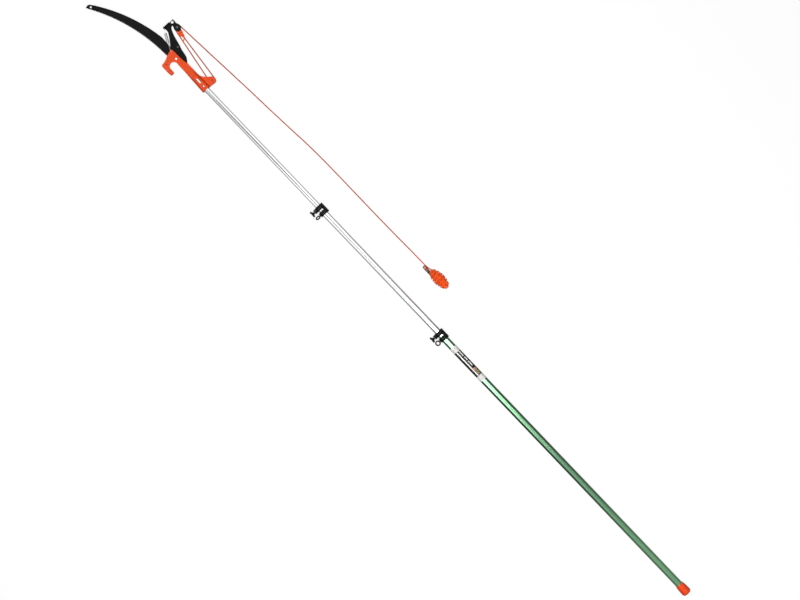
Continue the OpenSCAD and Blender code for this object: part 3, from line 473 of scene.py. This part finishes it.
def mouldedSkin(name, dark, light, rough, size=1200.0, drift=30.0, depth=0.03 * mm, wear=0.3, worn=None,
                gloss=0.2, dulls=0.15, core=None):
    # paint or plastic: fine bumps, slow changes of colour and gloss, and a few scuffs; a core is a dark
    # disc round an axis along Z, painted shade as of a dimple
    material, tree, shader, coord = newFinish(name, {"Specular IOR Level": gloss})
    grain = useGroup(tree, mouldedGrain, {"Vector": coord["Object"], "Size": size, "Slow": drift})
    rub = useGroup(tree, scuffs, {"Vector": coord["Object"], "Amount": wear})["Mask"]
    base = mixColour(tree, spread(tree, grain["Drift"], 0.0, 1.0), dark, light)
    base = mixColour(tree, rub, base, worn or light)
    # painted shade: a dark disc where a dimple in the pin's end would lie in shade
    if core:
        centre = (-core["at"][0], -core["at"][1], 0)
        links = {"Vector": coord["Object"], "Location": centre, "Scale": (1, 1, 0)}
        flat = node(tree, "ShaderNodeMapping", links).outputs[0]
        away = node(tree, "ShaderNodeVectorMath", {0: flat}, operation="LENGTH").outputs["Value"]
        mask = remap(tree, away, core["radius"] - core["soft"], core["radius"] + core["soft"], 1.0, 0.0)
        base = mixColour(tree, mask, base, core["colour"])
    tree.links.new(base, shader["Base Color"])
    dulled = calc(tree, "MULTIPLY", rub, dulls)
    tree.links.new(calc(tree, "ADD", spread(tree, grain["Drift"], *rough), dulled), shader["Roughness"])
    bumpInto(tree, shader, grain["Height"], depth)
    return material


strandSet = dict(fleck=0.3, dust=0.35, fuzz=1500.0, fuzzHeight=0.4, rough=(0.62, 0.85), depth=0.12 * mm,
                 sheen=0.08, sheenRough=0.4, gloss=0.12)


def strandColour(tree, plait, fuzz, dark, light, fleck):
    # crowns of the strands are lighter, the valleys darker as painted shade, one way of the plait a shade off
    crown = mixColour(tree, plait["Crown"], dark, light)
    slanted = mixColour(tree, calc(tree, "MULTIPLY", plait["Over"], strandSet["fleck"]), crown, fleck)
    return mixColour(tree, spread(tree, fuzz, 0.0, strandSet["dust"]), slanted, dark)


def ropeFinish(name, shades, fade=None, s=strandSet):
    # plaited cord; with a fade, its shades change to others between two places along it
    sockets = {"Sheen Weight": s["sheen"], "Sheen Roughness": s["sheenRough"],
               "Specular IOR Level": s["gloss"]}
    material, tree, shader, coord = newFinish(name, sockets)
    plait = useGroup(tree, ropePlait, {"UV": coord["UV"]})
    fuzz = noiseOf(tree, coord["Object"], s["fuzz"])
    colour = strandColour(tree, plait, fuzz, *shades)
    if fade:
        along = node(tree, "ShaderNodeSeparateXYZ", {0: coord["UV"]}).outputs["Y"]
        share = remap(tree, along, *fade["along"], 0.0, 1.0)
        colour = mixColour(tree, share, colour, strandColour(tree, plait, fuzz, *fade["shades"]))
    tree.links.new(colour, shader["Base Color"])
    tree.links.new(spread(tree, fuzz, *s["rough"]), shader["Roughness"])
    height = calc(tree, "ADD", plait["Crown"], calc(tree, "MULTIPLY", fuzz, s["fuzzHeight"]))
    bumpInto(tree, shader, height, s["depth"])
    return material


greenLacquer = drawnMetal("green lacquer", (0.14, 0.36, 0.17), (0.2, 0.47, 0.25), (0.06, 0.11),
                          across=420.0, depth=0.003 * mm, coat=1.0)
bareTube = drawnMetal("drawn aluminium", (0.74, 0.745, 0.76), (0.86, 0.865, 0.88), (0.06, 0.12),
                      depth=0.004 * mm)
brightSteel = drawnMetal("zinc plated steel", (0.62, 0.62, 0.63), (0.82, 0.82, 0.84), (0.2, 0.34),
                         across=1500.0, along=300.0)
greySteel = drawnMetal("grey rivet steel", (0.09, 0.095, 0.095), (0.17, 0.175, 0.175), (0.26, 0.4),
                       across=1500.0, along=300.0)
pinSteel = drawnMetal("grey pin steel", (0.035, 0.055, 0.055), (0.09, 0.125, 0.125), (0.26, 0.4),
                      across=1500.0, along=300.0)
darkSteel = drawnMetal("blackened steel", (0.012, 0.012, 0.013), (0.035, 0.035, 0.037), (0.3, 0.45),
                       across=1500.0, along=200.0)
turnedBrass = drawnMetal("turned brass", (0.5, 0.34, 0.12), (0.74, 0.55, 0.26), (0.22, 0.36),
                         across=1500.0, along=1500.0)
bladeCoat = drawnMetal("black blade coating", (0.003, 0.0031, 0.0032), (0.008, 0.0083, 0.0083), (0.4, 0.55),
                       across=700.0, along=25.0, metallic=0.0, depth=0.03 * mm, gloss=0.06)
orangeSet = dict(dark=(0.71, 0.06, 0.006), light=(0.79, 0.078, 0.009), rough=(0.3, 0.42), size=900.0,
                 depth=0.05 * mm, wear=0.25, worn=(0.82, 0.18, 0.08), gloss=0.12)
# the lower sheave pin's dark centre is painted shade of a dimple in its end
pinDimpleShade = dict(at=jointAt["lower_sheave_spin"][:2], radius=2.5 * mm, soft=0.3 * mm,
               colour=(0.02, 0.018, 0.018))
orangePaint = mouldedSkin("orange powder paint", **orangeSet)
paintedPin = mouldedSkin("orange pin with painted dimple shade", **orangeSet, core=pinDimpleShade)
orangeCap = mouldedSkin("orange end cap", (0.85, 0.06, 0.008), (0.92, 0.077, 0.012), (0.38, 0.5), size=1500.0,
                        wear=0.35, worn=(0.9, 0.2, 0.09), gloss=0.12)
blackGloss = mouldedSkin("black moulded plastic", (0.0025, 0.0025, 0.0027), (0.006, 0.006, 0.0063),
                         (0.1, 0.18), size=1800.0, depth=0.005 * mm, worn=(0.03, 0.03, 0.03), gloss=0.14)
blackPlastic = mouldedSkin("black pulley plastic", (0.006, 0.006, 0.006), (0.014, 0.014, 0.014), (0.42, 0.58),
                           size=1600.0)
greyPlastic = mouldedSkin("grey bush plastic", (0.16, 0.16, 0.165), (0.24, 0.24, 0.245), (0.45, 0.6),
                          size=1600.0)
tabPlastic = mouldedSkin("dark green tab plastic", (0.008, 0.022, 0.016), (0.016, 0.045, 0.03), (0.3, 0.45),
                         size=1600.0)
# rope shades: the valleys (painted shade), the crowns, and the crowns of the other slant
brightShades = [(0.86, 0.042, 0.004), (1.0, 0.21, 0.022), (1.0, 0.11, 0.012)]
# the runs take a darker copy of the same rope's shades; the hank and knot take the brighter ones
darkerShades = [(0.42, 0.03, 0.002), (0.78, 0.11, 0.004), (0.6, 0.065, 0.003)]
orangeRope = ropeFinish("orange plaited rope", brightShades)
darkerRope = ropeFinish("darker rope", darkerShades)
darkToBrightRope = ropeFinish("rope darker then bright", darkerShades, dict(along=(1.12, 1.21), shades=brightShades))
print("finishes made")


# castings

# node, finish, slot, body, voxel and how often it is relaxed
castSet = [("head_body", orangePaint, "orange_paint", "upper_pole", 0.8 * mm, 12),
           ("cord_tab", tabPlastic, "tab_plastic", "upper_pole", 0.3 * mm, 5)]


def mergedCopy(nodeName, finish, body, close=0.001 * mm, flat=0.5):
    # a copy of the CAD piece with its triangles merged and its flat faces joined
    work = bmesh.new()
    work.from_mesh(frame["nodes"][nodeName].data)
    bmesh.ops.remove_doubles(work, verts=work.verts, dist=close)
    bmesh.ops.dissolve_limit(work, angle_limit=math.radians(flat), verts=work.verts, edges=work.edges)
    mesh = bpy.data.meshes.new(nodeName)
    work.to_mesh(mesh)
    work.free()
    mesh.polygons.foreach_set("use_smooth", np.ones(len(mesh.polygons), bool))
    return addPiece(nodeName.replace("_", "-"), mesh, finish, body, [nodeName])


def relaxed(nodeName, finish, slot, body, voxel, repeat, factor=0.5):
    # a fine even skin over the CAD piece, relaxed until its corners are as round as a casting's
    piece = mergedCopy(nodeName, finish, body)
    skin = piece.modifiers.new("skin", "REMESH")
    skin.mode = "VOXEL"
    skin.voxel_size = voxel
    skin.use_smooth_shade = True
    relax = piece.modifiers.new("relax", "SMOOTH")
    relax.factor = factor
    relax.iterations = repeat


for row in castSet:
    relaxed(*row)
print("castings relaxed")


# rope

ropeSet = dict(diameter=4.1 * mm, pitchRadius=10.4 * mm, planeZ=-5.3 * mm, sides=20, step=0.9 * mm, plaits=5,
               perMetre=220, relief=0.05, knotSize=12.5 * mm, knotGap=1.2 * mm, tuckedIn=1.5 * mm,
               becket=(2620.5 * mm, -71 * mm), becketPin=2 * mm, wrapRings=60, aim=(2.363, -0.103),
               leverReach=80, swivelShare=-0.57)


def ropeMesh(name, path, reference=up, even=True, s=ropeSet):
    # radius = r * (1 - relief + 1.5 relief * |cos(n a + k s)| * |cos(n a - k s)|), with a round the rope and
    # s along it: the crowns of a plait
    path = evenPath(path, s["step"]) if even else path
    along = lengthAlong(path)
    angle = np.arange(s["sides"]) * 2 * np.pi / s["sides"]
    around, run = s["plaits"] * angle[None, :], np.pi * s["perMetre"] * along[:, None]
    crown = np.abs(np.cos(around + run)) * np.abs(np.cos(around - run))
    radius = s["diameter"] / 2 * (1 - s["relief"] + 1.5 * s["relief"] * crown)
    return gridMesh(name, tubeGrid(path, radius, s["sides"], reference), lengths=along)


def touchAngle(centre, radius, point, side):
    # angle on the circle where a line from the point touches it
    d = point - centre
    return math.atan2(d[1], d[0]) + side * math.acos(radius / np.linalg.norm(d))


def onCircle(centre, radius, angle, z):
    # centre + radius * (cos, sin) at a level; radius and level may change with the angle
    angle = np.asarray(angle, float)
    x, y = centre[0] + radius * np.cos(angle), centre[1] + radius * np.sin(angle)
    return np.stack([x, y, np.broadcast_to(z, angle.shape)], axis=-1)


def tackleLines(s):
    # where the rope leaves each sheave, with the lever at rest
    upper, lower = jointAt["upper_sheave_spin"][:2], jointAt["lower_sheave_spin"][:2]
    becket, aim = np.array(s["becket"]), np.array(s["aim"])
    direction = unit(lower - upper)
    knot = becket + (s["knotSize"] / 2 + s["becketPin"] + s["knotGap"]) * unit(lower - becket)
    return dict(upper=upper, lower=lower, becket=becket, knot=knot, aim=aim,
                liftAngle=math.atan2(direction[0], -direction[1]) + math.pi,
                becketAngle=touchAngle(lower, s["pitchRadius"], knot, -1),
                pullAngle=touchAngle(upper, s["pitchRadius"], aim, 1))


tackle = tackleLines(ropeSet)


def followBlock(piece):
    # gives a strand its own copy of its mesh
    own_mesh(piece)


def layRope(name, path, body, nodes, finish=darkerRope):
    # a stretch of rope on its path
    return addPiece(name, ropeMesh(name, path), finish, body, nodes)


def ropeInTackle(s, t):
    # a straight strand from each sheave to the other or to the knot, and an arc round each sheave
    z, r = s["planeZ"], s["pitchRadius"]
    liftTop = onCircle(t["upper"], r, t["liftAngle"], z)
    liftFoot = onCircle(t["lower"], r, t["liftAngle"], z)
    becketFoot = onCircle(t["lower"], r, t["becketAngle"], z)
    knot = np.append(t["knot"], z)
    becketTop = knot + (s["knotSize"] / 2 - s["tuckedIn"]) * unit(becketFoot - knot)
    for name, top, foot in (("lift", liftTop, liftFoot), ("becket", becketTop, becketFoot)):
        strand = layRope(name + "-strand", np.stack([top, foot]), "upper_pole", [name + "_strand"])
        followBlock(strand)
    wholeTurn = 2 * np.pi
    upperWrap = (t["liftAngle"] - t["pullAngle"]) % wholeTurn
    lowerWrap = (t["becketAngle"] - t["liftAngle"]) % wholeTurn
    upperTurn = t["pullAngle"] + np.linspace(0, upperWrap, s["wrapRings"])
    lowerTurn = t["liftAngle"] + np.linspace(0, lowerWrap, s["wrapRings"])
    layRope("upper-rope-wrap", onCircle(t["upper"], r, upperTurn, z), "pulley_block", ["upper_rope_wrap"])
    layRope("lower-rope-wrap", onCircle(t["lower"], r, lowerTurn, z), "upper_pole", ["lower_rope_wrap"])


knotSet = dict(trefoil=1.42 * mm, trefoilRings=160, loopGap=0.4 * mm, loopRings=40, inner=1.3 * mm,
               outer=8.4 * mm, turns=2.0, turnRings=110, top=3.6 * mm, rim=2.4 * mm, bend=(0.45, 0.4),
               start=2.2, tuckSteps=8, tailSteps=12,
               tuck=[(-1.5, 2.2, -2), (-3.5, 3.6, -5)],
               tail=[(-1, -3, 3), (-7, -1, 4.5), (-11.5, 3, 4.8), (-15, 9, 4.8), (-17.3, 15.5, 4.6)])


def ropeKnot(s, t, k):
    # an overhand knot on a trefoil line, a loop round the becket pin, turns laid over its head, and a
    # curled tail
    z = s["planeZ"]
    a = np.linspace(0, 2 * np.pi, k["trefoilRings"])
    x, y = np.sin(a) + 2 * np.sin(2 * a), np.cos(a) - 2 * np.cos(2 * a)
    trefoil = np.stack([x, y, -1.5 * np.sin(3 * a)], axis=1) * k["trefoil"] + np.append(t["knot"], z)
    tangent = np.gradient(trefoil, axis=0)
    ball = ropeMesh("knot ball", trefoil, np.cross(tangent, np.gradient(tangent, axis=0)), even=False)
    loop = np.linspace(0, 2 * np.pi, k["loopRings"])
    loopRadius = s["becketPin"] + s["diameter"] / 2 + k["loopGap"]
    eye = ropeMesh("becket loop", onCircle(t["becket"], loopRadius, loop, z))
    turn = np.linspace(0, 1, k["turnRings"])  # a flat spiral, domed over the head of the pin
    reach = k["inner"] + (k["outer"] - k["inner"]) * turn
    falls, over = k["bend"]
    dome = k["top"] + (k["rim"] - k["top"]) * np.clip((reach / k["outer"] - falls) / over, 0, 1)
    flat = onCircle(t["becket"], reach, 2 * np.pi * k["turns"] * turn + k["start"], dome)
    tuck = smoothRoute(np.vstack([flat[-1:], flat[-1] + np.array(k["tuck"]) * mm]), k["tuckSteps"])[1:]
    turns = ropeMesh("front turns", np.vstack([flat, tuck]))
    tailLine = np.array(k["tail"]) * mm + np.append(t["knot"], z)
    tail = ropeMesh("knot tail", smoothRoute(tailLine, k["tailSteps"]))
    mesh = joinMeshes("rope knot", [ball, eye, turns, tail])
    addPiece("rope-knot", mesh, orangeRope, "pulley_block", ["rope_knot"])


# the free rope: down from the upper sheave to the floor and along it to the hank, as in the part's source,
# its points in millimetres
routeSet = dict(straight=14 * mm, steps=16, cut=2 * mm,
                fall=[(2580, -89.6, -6.4), (2520, -93.3, -9), (2465, -96.7, -12), (2410, -100.1, -14.2)],
                lie=[(2363, -103), (2296, -107), (2214, -111), (2123, -116.5), (2046, -121.5), (1965, -124.4),
                     (1883, -125), (1790, -125), (1700, -125), (1620, -125.5), (1560, -126.5),
                     (1510, -127.3), (1474, -127.6), (1450, -128), (1436, -130), (1425, -133.5)])
coreSet = dict(run=32 * mm, fold=9.8 * mm, step=4.1 * mm, loops=1, rings=120, skip=10,
               levels=(-9.8 * mm, -5.6 * mm, -1.4 * mm))
wrapSet = dict(there=11, back=13.336, ends=(24 * mm, -34 * mm, 34.5 * mm), side=(15.4 * mm, 19.4 * mm),
               rise=(8.4 * mm, 12.4 * mm), z=-5.2 * mm, layer=1.5 * mm, turnOver=0.4, rings=44, phase=2.3,
               slant=(1.5 * mm, -2.5 * mm), drift=0.05, square=0.86, swell=(0.03, 0.37),
               stray=(0.9 * mm, 0.61), broad=-2 * mm, tabEnd=(0.44, 38 * mm, 2.2),
               buttEnd=(0.56, 40 * mm, 1.55))
hankSet = dict(at=(1384 * mm, -129.5 * mm), lead=[(-8, -2.2, 2), (-16, -5, 4.2)], core=coreSet, wrap=wrapSet,
               cut=4 * mm, wobble=0.4 * mm, swings=(47.0, 61, 53), phases=(0.4, 1.9, 3.1), calm=0.04, steps=6,
               fineCut=1.1 * mm,
               thread=[(1418, -128.4, -14.6), (1422.5, -124.9, -14.6), (1429, -122.6, -14.6),
                       (1437, -121.6, -14.2), (1443.5, -121.3, -13.4), (1447.8, -121.2, -11.4),
                       (1449.7, -121.2, -8), (1448, -121, -2.6), (1443, -120.9, -0.8),
                       (1438.4, -120.4, -2.6), (1436.4, -120, -8), (1436.2, -119.8, -12)])


def pullRope(s, t, route):
    # straight off the sheave, down to the floor and along it, on one smooth line
    onFloor = floorZ + s["diameter"] / 2
    top = onCircle(t["upper"], s["pitchRadius"], t["pullAngle"], s["planeZ"])
    out = np.append(unit(t["aim"] - top[:2]), 0)
    lie = np.column_stack([np.array(route["lie"]) * mm, np.full(len(route["lie"]), onFloor)])
    points = np.vstack([top, top + route["straight"] * out, np.array(route["fall"]) * mm, lie])
    path = evenPath(smoothRoute(points, route["steps"]), route["cut"])
    rope = layRope("pull-rope", path, "upper_pole", ["pull_rope"], darkToBrightRope)
    followBlock(rope)
    return path[-1]


def hankCore(s, at):
    # long loops in layers: each spirals in or out by one step a loop, and climbs to its level on the first
    # of a loop's four quarters: a run, a fold, the run back and a fold
    u = np.arange(len(s["levels"]) * s["loops"] * s["rings"]) / s["rings"]
    layer = np.floor(u / s["loops"]).astype(int)
    within = u - layer * s["loops"]
    radius = s["fold"] - s["step"] * np.where(layer % 2 == 0, within, s["loops"] - within)
    levels = np.array(s["levels"])
    climb = np.clip(within * 4, 0, 1)
    below = levels[np.maximum(layer - 1, 0)]
    z = below + (levels[layer] - below) * (3 - 2 * climb) * climb**2
    quarter, f = np.floor(u * 4) % 4, u * 4 - np.floor(u * 4)
    x, bend = s["run"] * (1 - 2 * f), np.pi * f
    ends = radius * np.sin(bend)
    sides = [quarter == 0, quarter == 1, quarter == 2]
    px = np.select(sides, [x, -s["run"] - ends, -x], s["run"] + ends)
    py = np.select(sides, [-radius, -radius * np.cos(bend), radius], radius * np.cos(bend))
    return np.stack([px + at[0], py + at[1], z], axis=1)[s["skip"]:]


def hankWrap(s, at, onFloor):
    # squarish rings round the bundle, there and back along it: side and rise grow by a layer for the way
    # back, and the bundle's breadth falls off from its broadest place by a power of the distance
    total = s["there"] + s["back"]
    turn = np.linspace(0, total, int(total * s["rings"]))
    angle = 2 * np.pi * turn + s["phase"]
    x = np.interp(turn, [0, s["there"], total], s["ends"])
    layer = np.interp(turn, [s["there"] - s["turnOver"], s["there"] + s["turnOver"]], [0, 1])
    away = x - s["broad"]
    share, reach, power = (np.where(away > 0, a, b) for a, b in zip(s["tabEnd"], s["buttEnd"]))
    swell, swellRate = s["swell"]
    breadth = (1 - share * (np.abs(away) / reach)**power) * (1 + swell * np.sin(angle * swellRate))
    c, v = (np.sign(w) * np.abs(w)**s["square"] for w in (np.cos(angle), np.sin(angle)))
    side, rise, slant = (low + (high - low) * layer for low, high in (s["side"], s["rise"], s["slant"]))
    y = s["drift"] * x + side * breadth * c
    stray, strayRate = s["stray"]
    x = x + slant * c + stray * np.sin(angle * strayRate)
    fall = s["z"] - onFloor - s["layer"] * (1 - layer)  # flat underneath, where it lies
    z = s["z"] + np.where(v > 0, rise * breadth, fall) * v
    return np.stack([x + at[0], y + at[1], z], axis=1)


def ropeHank(s, rope, begin):
    # the rope's lead, the loops and the wrap on one line, with a small swing, and its end through the tab
    onFloor = floorZ + rope["diameter"] / 2
    lead = np.vstack([begin, begin + np.array(s["lead"]) * mm])
    bundle = [lead, hankCore(s["core"], s["at"]), hankWrap(s["wrap"], s["at"], onFloor)]
    line = evenPath(np.vstack(bundle), s["cut"])
    share = np.linspace(0, 1, len(line))[:, None]
    swing = np.sin(2 * np.pi * share * np.array([s["swings"]]) + np.array([s["phases"]]))
    line = line + s["wobble"] * np.clip((share - s["calm"]) / s["calm"], 0, 1) * swing
    line[:, 2] = np.maximum(line[:, 2], onFloor)
    line = np.vstack([line, np.array(s["thread"]) * mm])  # the end goes through the tab's two slots
    path = evenPath(smoothRoute(line, s["steps"]), s["fineCut"])
    hank = layRope("rope-hank", path, "upper_pole", ["rope_hank"], orangeRope)


ropeInTackle(ropeSet, tackle)
ropeKnot(ropeSet, tackle, knotSet)
hankStart = pullRope(ropeSet, tackle, routeSet)
ropeHank(hankSet, ropeSet, hankStart)
print("rope laid")


# return spring

springSet = dict(pin=(2597 * mm, -3.6 * mm), pinRadius=2 * mm, hookGap=0.35 * mm, hookTurn=270, hookRings=24,
                 wire=1.3 * mm, curl=8.7 * mm, curls=22, step=1.85 * mm, taper=0.6, rings=28, sides=12,
                 far=(2674 * mm, -40.5 * mm), z=6.2 * mm, legShare=0.58, legGap=1.5 * mm, through=3.5 * mm,
                 innerRings=30, outerRings=8, crook=[(1.2, 0.4), (1.7, 1.4), (1.9, 2.6), (1.9, 3.6)])


def returnSpring(s):
    # hook round the pin, a leg, curls round the line to the flange, and a leg through its hole
    pin, far = np.array(s["pin"]), np.array(s["far"])
    hook = s["pinRadius"] + s["hookGap"] + s["wire"] / 2
    hookAngle = touchAngle(pin, hook, far, 1)
    near = onCircle(pin, hook, hookAngle, 0)[:2]
    ahead = unit(far - near)
    along, side = np.append(ahead, 0), np.array([-ahead[1], ahead[0], 0])
    total, coil = np.linalg.norm(far - near), s["curls"] * s["step"]
    leg = s["legShare"] * (total - coil)
    base = np.append(near, s["z"])
    back = 1 - np.arange(s["hookRings"]) / s["hookRings"]
    bend = onCircle(pin, hook, hookAngle + np.radians(s["hookTurn"]) * back, s["z"])
    turn = np.linspace(0, s["curls"], s["curls"] * s["rings"] + 1)
    radius = s["curl"] / 2 * np.clip(np.minimum(turn, s["curls"] - turn) / s["taper"], 0, 1)
    angle = 2 * np.pi * turn + np.pi / 2
    radial = np.cos(angle)[:, None] * side + np.sin(angle)[:, None] * up
    curls = base + (leg + turn * s["step"])[:, None] * along + radius[:, None] * radial
    inner = np.linspace(0, leg - s["legGap"], s["innerRings"])  # many rings along the inner leg
    outer = np.linspace(leg + coil + s["legGap"], total + s["through"], s["outerRings"])
    legIn = base + inner[:, None] * along
    legOut = base + outer[:, None] * along
    crook = legOut[-1] + np.array(s["crook"]) @ np.stack([along, up]) * mm
    path = np.vstack([bend, legIn, curls, legOut, crook])
    reference = np.vstack([np.tile(up, (len(bend) + len(legIn), 1)), radial, np.tile(up, (len(legOut), 1)),
                           np.tile(-along, (len(crook), 1))])
    grid = tubeGrid(path, s["wire"] / 2, s["sides"], reference)
    mesh = gridMesh("return spring", grid, lengths=lengthAlong(path))
    spring = addPiece("return-spring", mesh, brightSteel, None, ["return_spring"])
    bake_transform(spring)


returnSpring(springSet)
print("spring wound")


# turned pieces of the pole

tubeSet = dict(segments=96, wall=1.2 * mm, rim=0.35 * mm, land=2 * mm, sharp=50)


def turnedMesh(name, profile, segments):
    # a closed profile of (x, radius) turned round the pole's axis
    angle = np.arange(segments) * 2 * np.pi / segments
    x, r = profile[:, :1], profile[:, 1:]
    grid = np.stack([np.broadcast_to(x, (len(x), segments)), -r * np.sin(angle), r * np.cos(angle)], -1)
    lengths = lengthAlong(np.vstack([profile, profile[:1]]))
    return gridMesh(name, grid[::-1], wrapLong=True, lengths=lengths)


def rounded(corners, radius, steps=5, most=0.45):
    # a round at each corner of a closed profile: a quadratic curve between two points beside it
    p = np.array(corners, float)
    before, after = np.roll(p, 1, axis=0), np.roll(p, -1, axis=0)
    shorter = np.minimum(np.linalg.norm(p - before, axis=1), np.linalg.norm(p - after, axis=1))
    reach = np.minimum(radius, most * shorter)[:, None]
    a, b = p + reach * unit(before - p), p + reach * unit(after - p)
    t = np.linspace(0, 1, steps)[None, :, None]
    return ((1 - t)**2 * a[:, None] + 2 * t * (1 - t) * p[:, None] + t**2 * b[:, None]).reshape(-1, 2)


def poleTube(nodeName, body, finish, s):
    # a tube's wall turned round X, with rings beside its rims that keep the long faces' shading straight
    low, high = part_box(nodeName)
    outer = (high[2] - low[2]) / 2
    inner = outer - s["wall"]
    near, far = low[0] + s["land"], high[0] - s["land"]
    corners = [(low[0], outer), (low[0], inner), (near, inner), (far, inner), (high[0], inner),
               (high[0], outer), (far, outer), (near, outer)]
    mesh = turnedMesh(nodeName, rounded(corners, s["rim"]), s["segments"])
    addPiece(nodeName.replace("_", "-"), mesh, finish, body, [nodeName])
    mesh.set_sharp_from_angle(angle=math.radians(s["sharp"]))


poleTube("outer_tube", "outer_pole", greenLacquer, tubeSet)
poleTube("middle_tube", "middle_pole", bareTube, tubeSet)
poleTube("upper_tube", "upper_pole", bareTube, tubeSet)


# the film round the tube: millimetres along it, and radians round it from the top; of its lines, the first
# three are printed dashes and the last, along the +Y side, is a painted highlight stripe
labelSet = dict(segments=120, film=0.16 * mm, half=0.847 * np.pi, rings=5, sharp=50, bare=22,
                patch=(26, 50, -0.95, 0.02), edge=(50, 53, -0.95, 0.45),
                lines=[(64, 84, -0.68, -0.38), (88, 104, -0.68, -0.38), (108, 132, -0.68, -0.38),
                       (24, 134, 0.12, 0.45)],
                pale=(0.76, 0.75, 0.72), black=(0.005, 0.006, 0.006), markAndHighlight=(0.92, 0.92, 0.9),
                brown=[(0.06, 0.05, 0.02), (0.42, 0.33, 0.19)], orange=(0.8, 0.3, 0.17),
                dust=(0.5, 0.5, 0.48), dusty=0.06, rough=(0.08, 0.14), depth=0.004 * mm,
                gloss=0.12, grain=2500.0, slow=260.0)


def labelFinish(s, start, length):
    # film with pale ends, a black field, pale printed dashes, a long pale stripe of painted highlight on the
    # +Y side, and a mottled brown block on the lower half
    material, tree, shader, coord = newFinish("printed film", {"Specular IOR Level": s["gloss"]})
    parts = node(tree, "ShaderNodeSeparateXYZ", {0: coord["Object"]}).outputs
    along = calc(tree, "DIVIDE", calc(tree, "SUBTRACT", parts["X"], start), mm)
    angle = calc(tree, "ARCTAN2", parts["Y"], parts["Z"])

    def between(value, low, high):
        above = calc(tree, "GREATER_THAN", value, low)
        return calc(tree, "MULTIPLY", above, calc(tree, "LESS_THAN", value, high))

    def box(low, high, side, other):
        return calc(tree, "MULTIPLY", between(along, low, high), between(angle, side, other))

    links = {"Vector": coord["Object"], "Size": s["grain"], "Slow": s["slow"]}
    grain = useGroup(tree, mouldedGrain, links)
    field = between(along, s["bare"], length / mm - s["bare"])
    marksAndHighlight = box(*s["lines"][0])
    for line in s["lines"][1:]:
        marksAndHighlight = calc(tree, "MAXIMUM", marksAndHighlight, box(*line))
    mottled = mixColour(tree, spread(tree, grain["Drift"], 0.0, 1.0), *s["brown"])
    colour = mixColour(tree, field, s["pale"], s["black"])
    colour = mixColour(tree, box(*s["patch"]), colour, mottled)
    # the pale marks: printed dashes, and one long stripe that is a painted highlight
    colour = mixColour(tree, marksAndHighlight, colour, s["markAndHighlight"])
    colour = mixColour(tree, box(*s["edge"]), colour, s["orange"])
    aged = mixColour(tree, spread(tree, grain["Drift"], 0.0, s["dusty"]), colour, s["dust"])
    tree.links.new(aged, shader["Base Color"])
    tree.links.new(spread(tree, grain["Drift"], *s["rough"]), shader["Roughness"])
    bumpInto(tree, shader, grain["Height"], s["depth"])
    return material


def poleLabel(s):
    # a thin film wrapped round most of the tube, open underneath: an arc at two radii, carried along X
    low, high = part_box("pole_label")
    sweep = np.linspace(-s["half"], s["half"], s["segments"])
    angle = np.concatenate([sweep, sweep[::-1]])
    radius = np.repeat([high[2], high[2] - s["film"]], s["segments"])
    x = np.linspace(low[0], high[0], s["rings"])[:, None]
    shape = (len(x), len(angle))
    ring = [np.broadcast_to(v, shape) for v in (x, radius * np.sin(angle), radius * np.cos(angle))]
    mesh = gridMesh("pole label", np.stack(ring, -1)[::-1])
    finish = labelFinish(s, low[0], high[0] - low[0])
    addPiece("pole-label", mesh, finish, "outer_pole", ["pole_label"])
    mesh.set_sharp_from_angle(angle=math.radians(s["sharp"]))


poleLabel(labelSet)
print("tubes turned")


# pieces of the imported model: a finish for each, and rounded edges where they show

# node, finish, slot, body and the width of its rounded edges
softSet = [("end_cap", orangeCap, "orange_plastic", "outer_pole", 0.3 * mm),
           ("lower_clamp_sleeve", blackGloss, "black_gloss", "outer_pole", 0.5 * mm),
           ("upper_clamp_sleeve", blackGloss, "black_gloss", "middle_pole", 0.5 * mm),
           ("lower_wing_knob", blackGloss, "black_gloss", "lower_wing_screw", 0.5 * mm),
           ("upper_wing_knob", blackGloss, "black_gloss", "upper_wing_screw", 0.5 * mm),
           ("lower_eye_screw", blackGloss, "dark_steel", "lower_eye", 0.2 * mm),
           ("upper_eye_screw", blackGloss, "dark_steel", "upper_eye", 0.2 * mm),
           ("saw_blade", bladeCoat, "black_coat", "upper_pole", 0.15 * mm),
           ("lever_plate", bladeCoat, "black_coat", "lever", 0.35 * mm),
           ("cutting_blade", bladeCoat, "black_coat", "lever", 0.1 * mm),
           ("block_cheeks", bladeCoat, "black_coat", "pulley_block", 0.35 * mm)]
plainSet = {turnedBrass: ["lower_clamp_inserts", "upper_clamp_inserts"],
            brightSteel: ["lower_wing_stud", "upper_wing_stud", "head_screws", "pivot_bolt", "pivot_nut",
                          "block_washers", "block_eyelet"],
            greyPlastic: ["middle_guide_bush", "upper_guide_bush"],
            blackPlastic: ["lower_sheave", "upper_sheave"],
            darkSteel: ["saw_screws", "becket_pin"],
            greySteel: ["blade_rivets"],
            pinSteel: ["upper_sheave_pin"],
            paintedPin: ["lower_sheave_pin"],
            orangePaint: ["spring_pin"]}


def softened(nodeName, finish, slot, body, width, segments=2, angle=32):
    # a merged copy with its edges rounded
    piece = mergedCopy(nodeName, finish, body)
    bevel = piece.modifiers.new("edges", "BEVEL")
    bevel.width = width
    bevel.segments = segments
    bevel.limit_method = "ANGLE"
    bevel.angle_limit = math.radians(angle)
    bevel.miter_outer = "MITER_ARC"
    bevel.use_clamp_overlap = True
    bevel.harden_normals = True


for row in softSet:
    softened(*row)
for finish, nodeNames in plainSet.items():
    for nodeName in nodeNames:
        mesh = frame["nodes"][nodeName].data
        mesh.materials.clear()
        mesh.materials.append(finish)
print("pieces dressed")
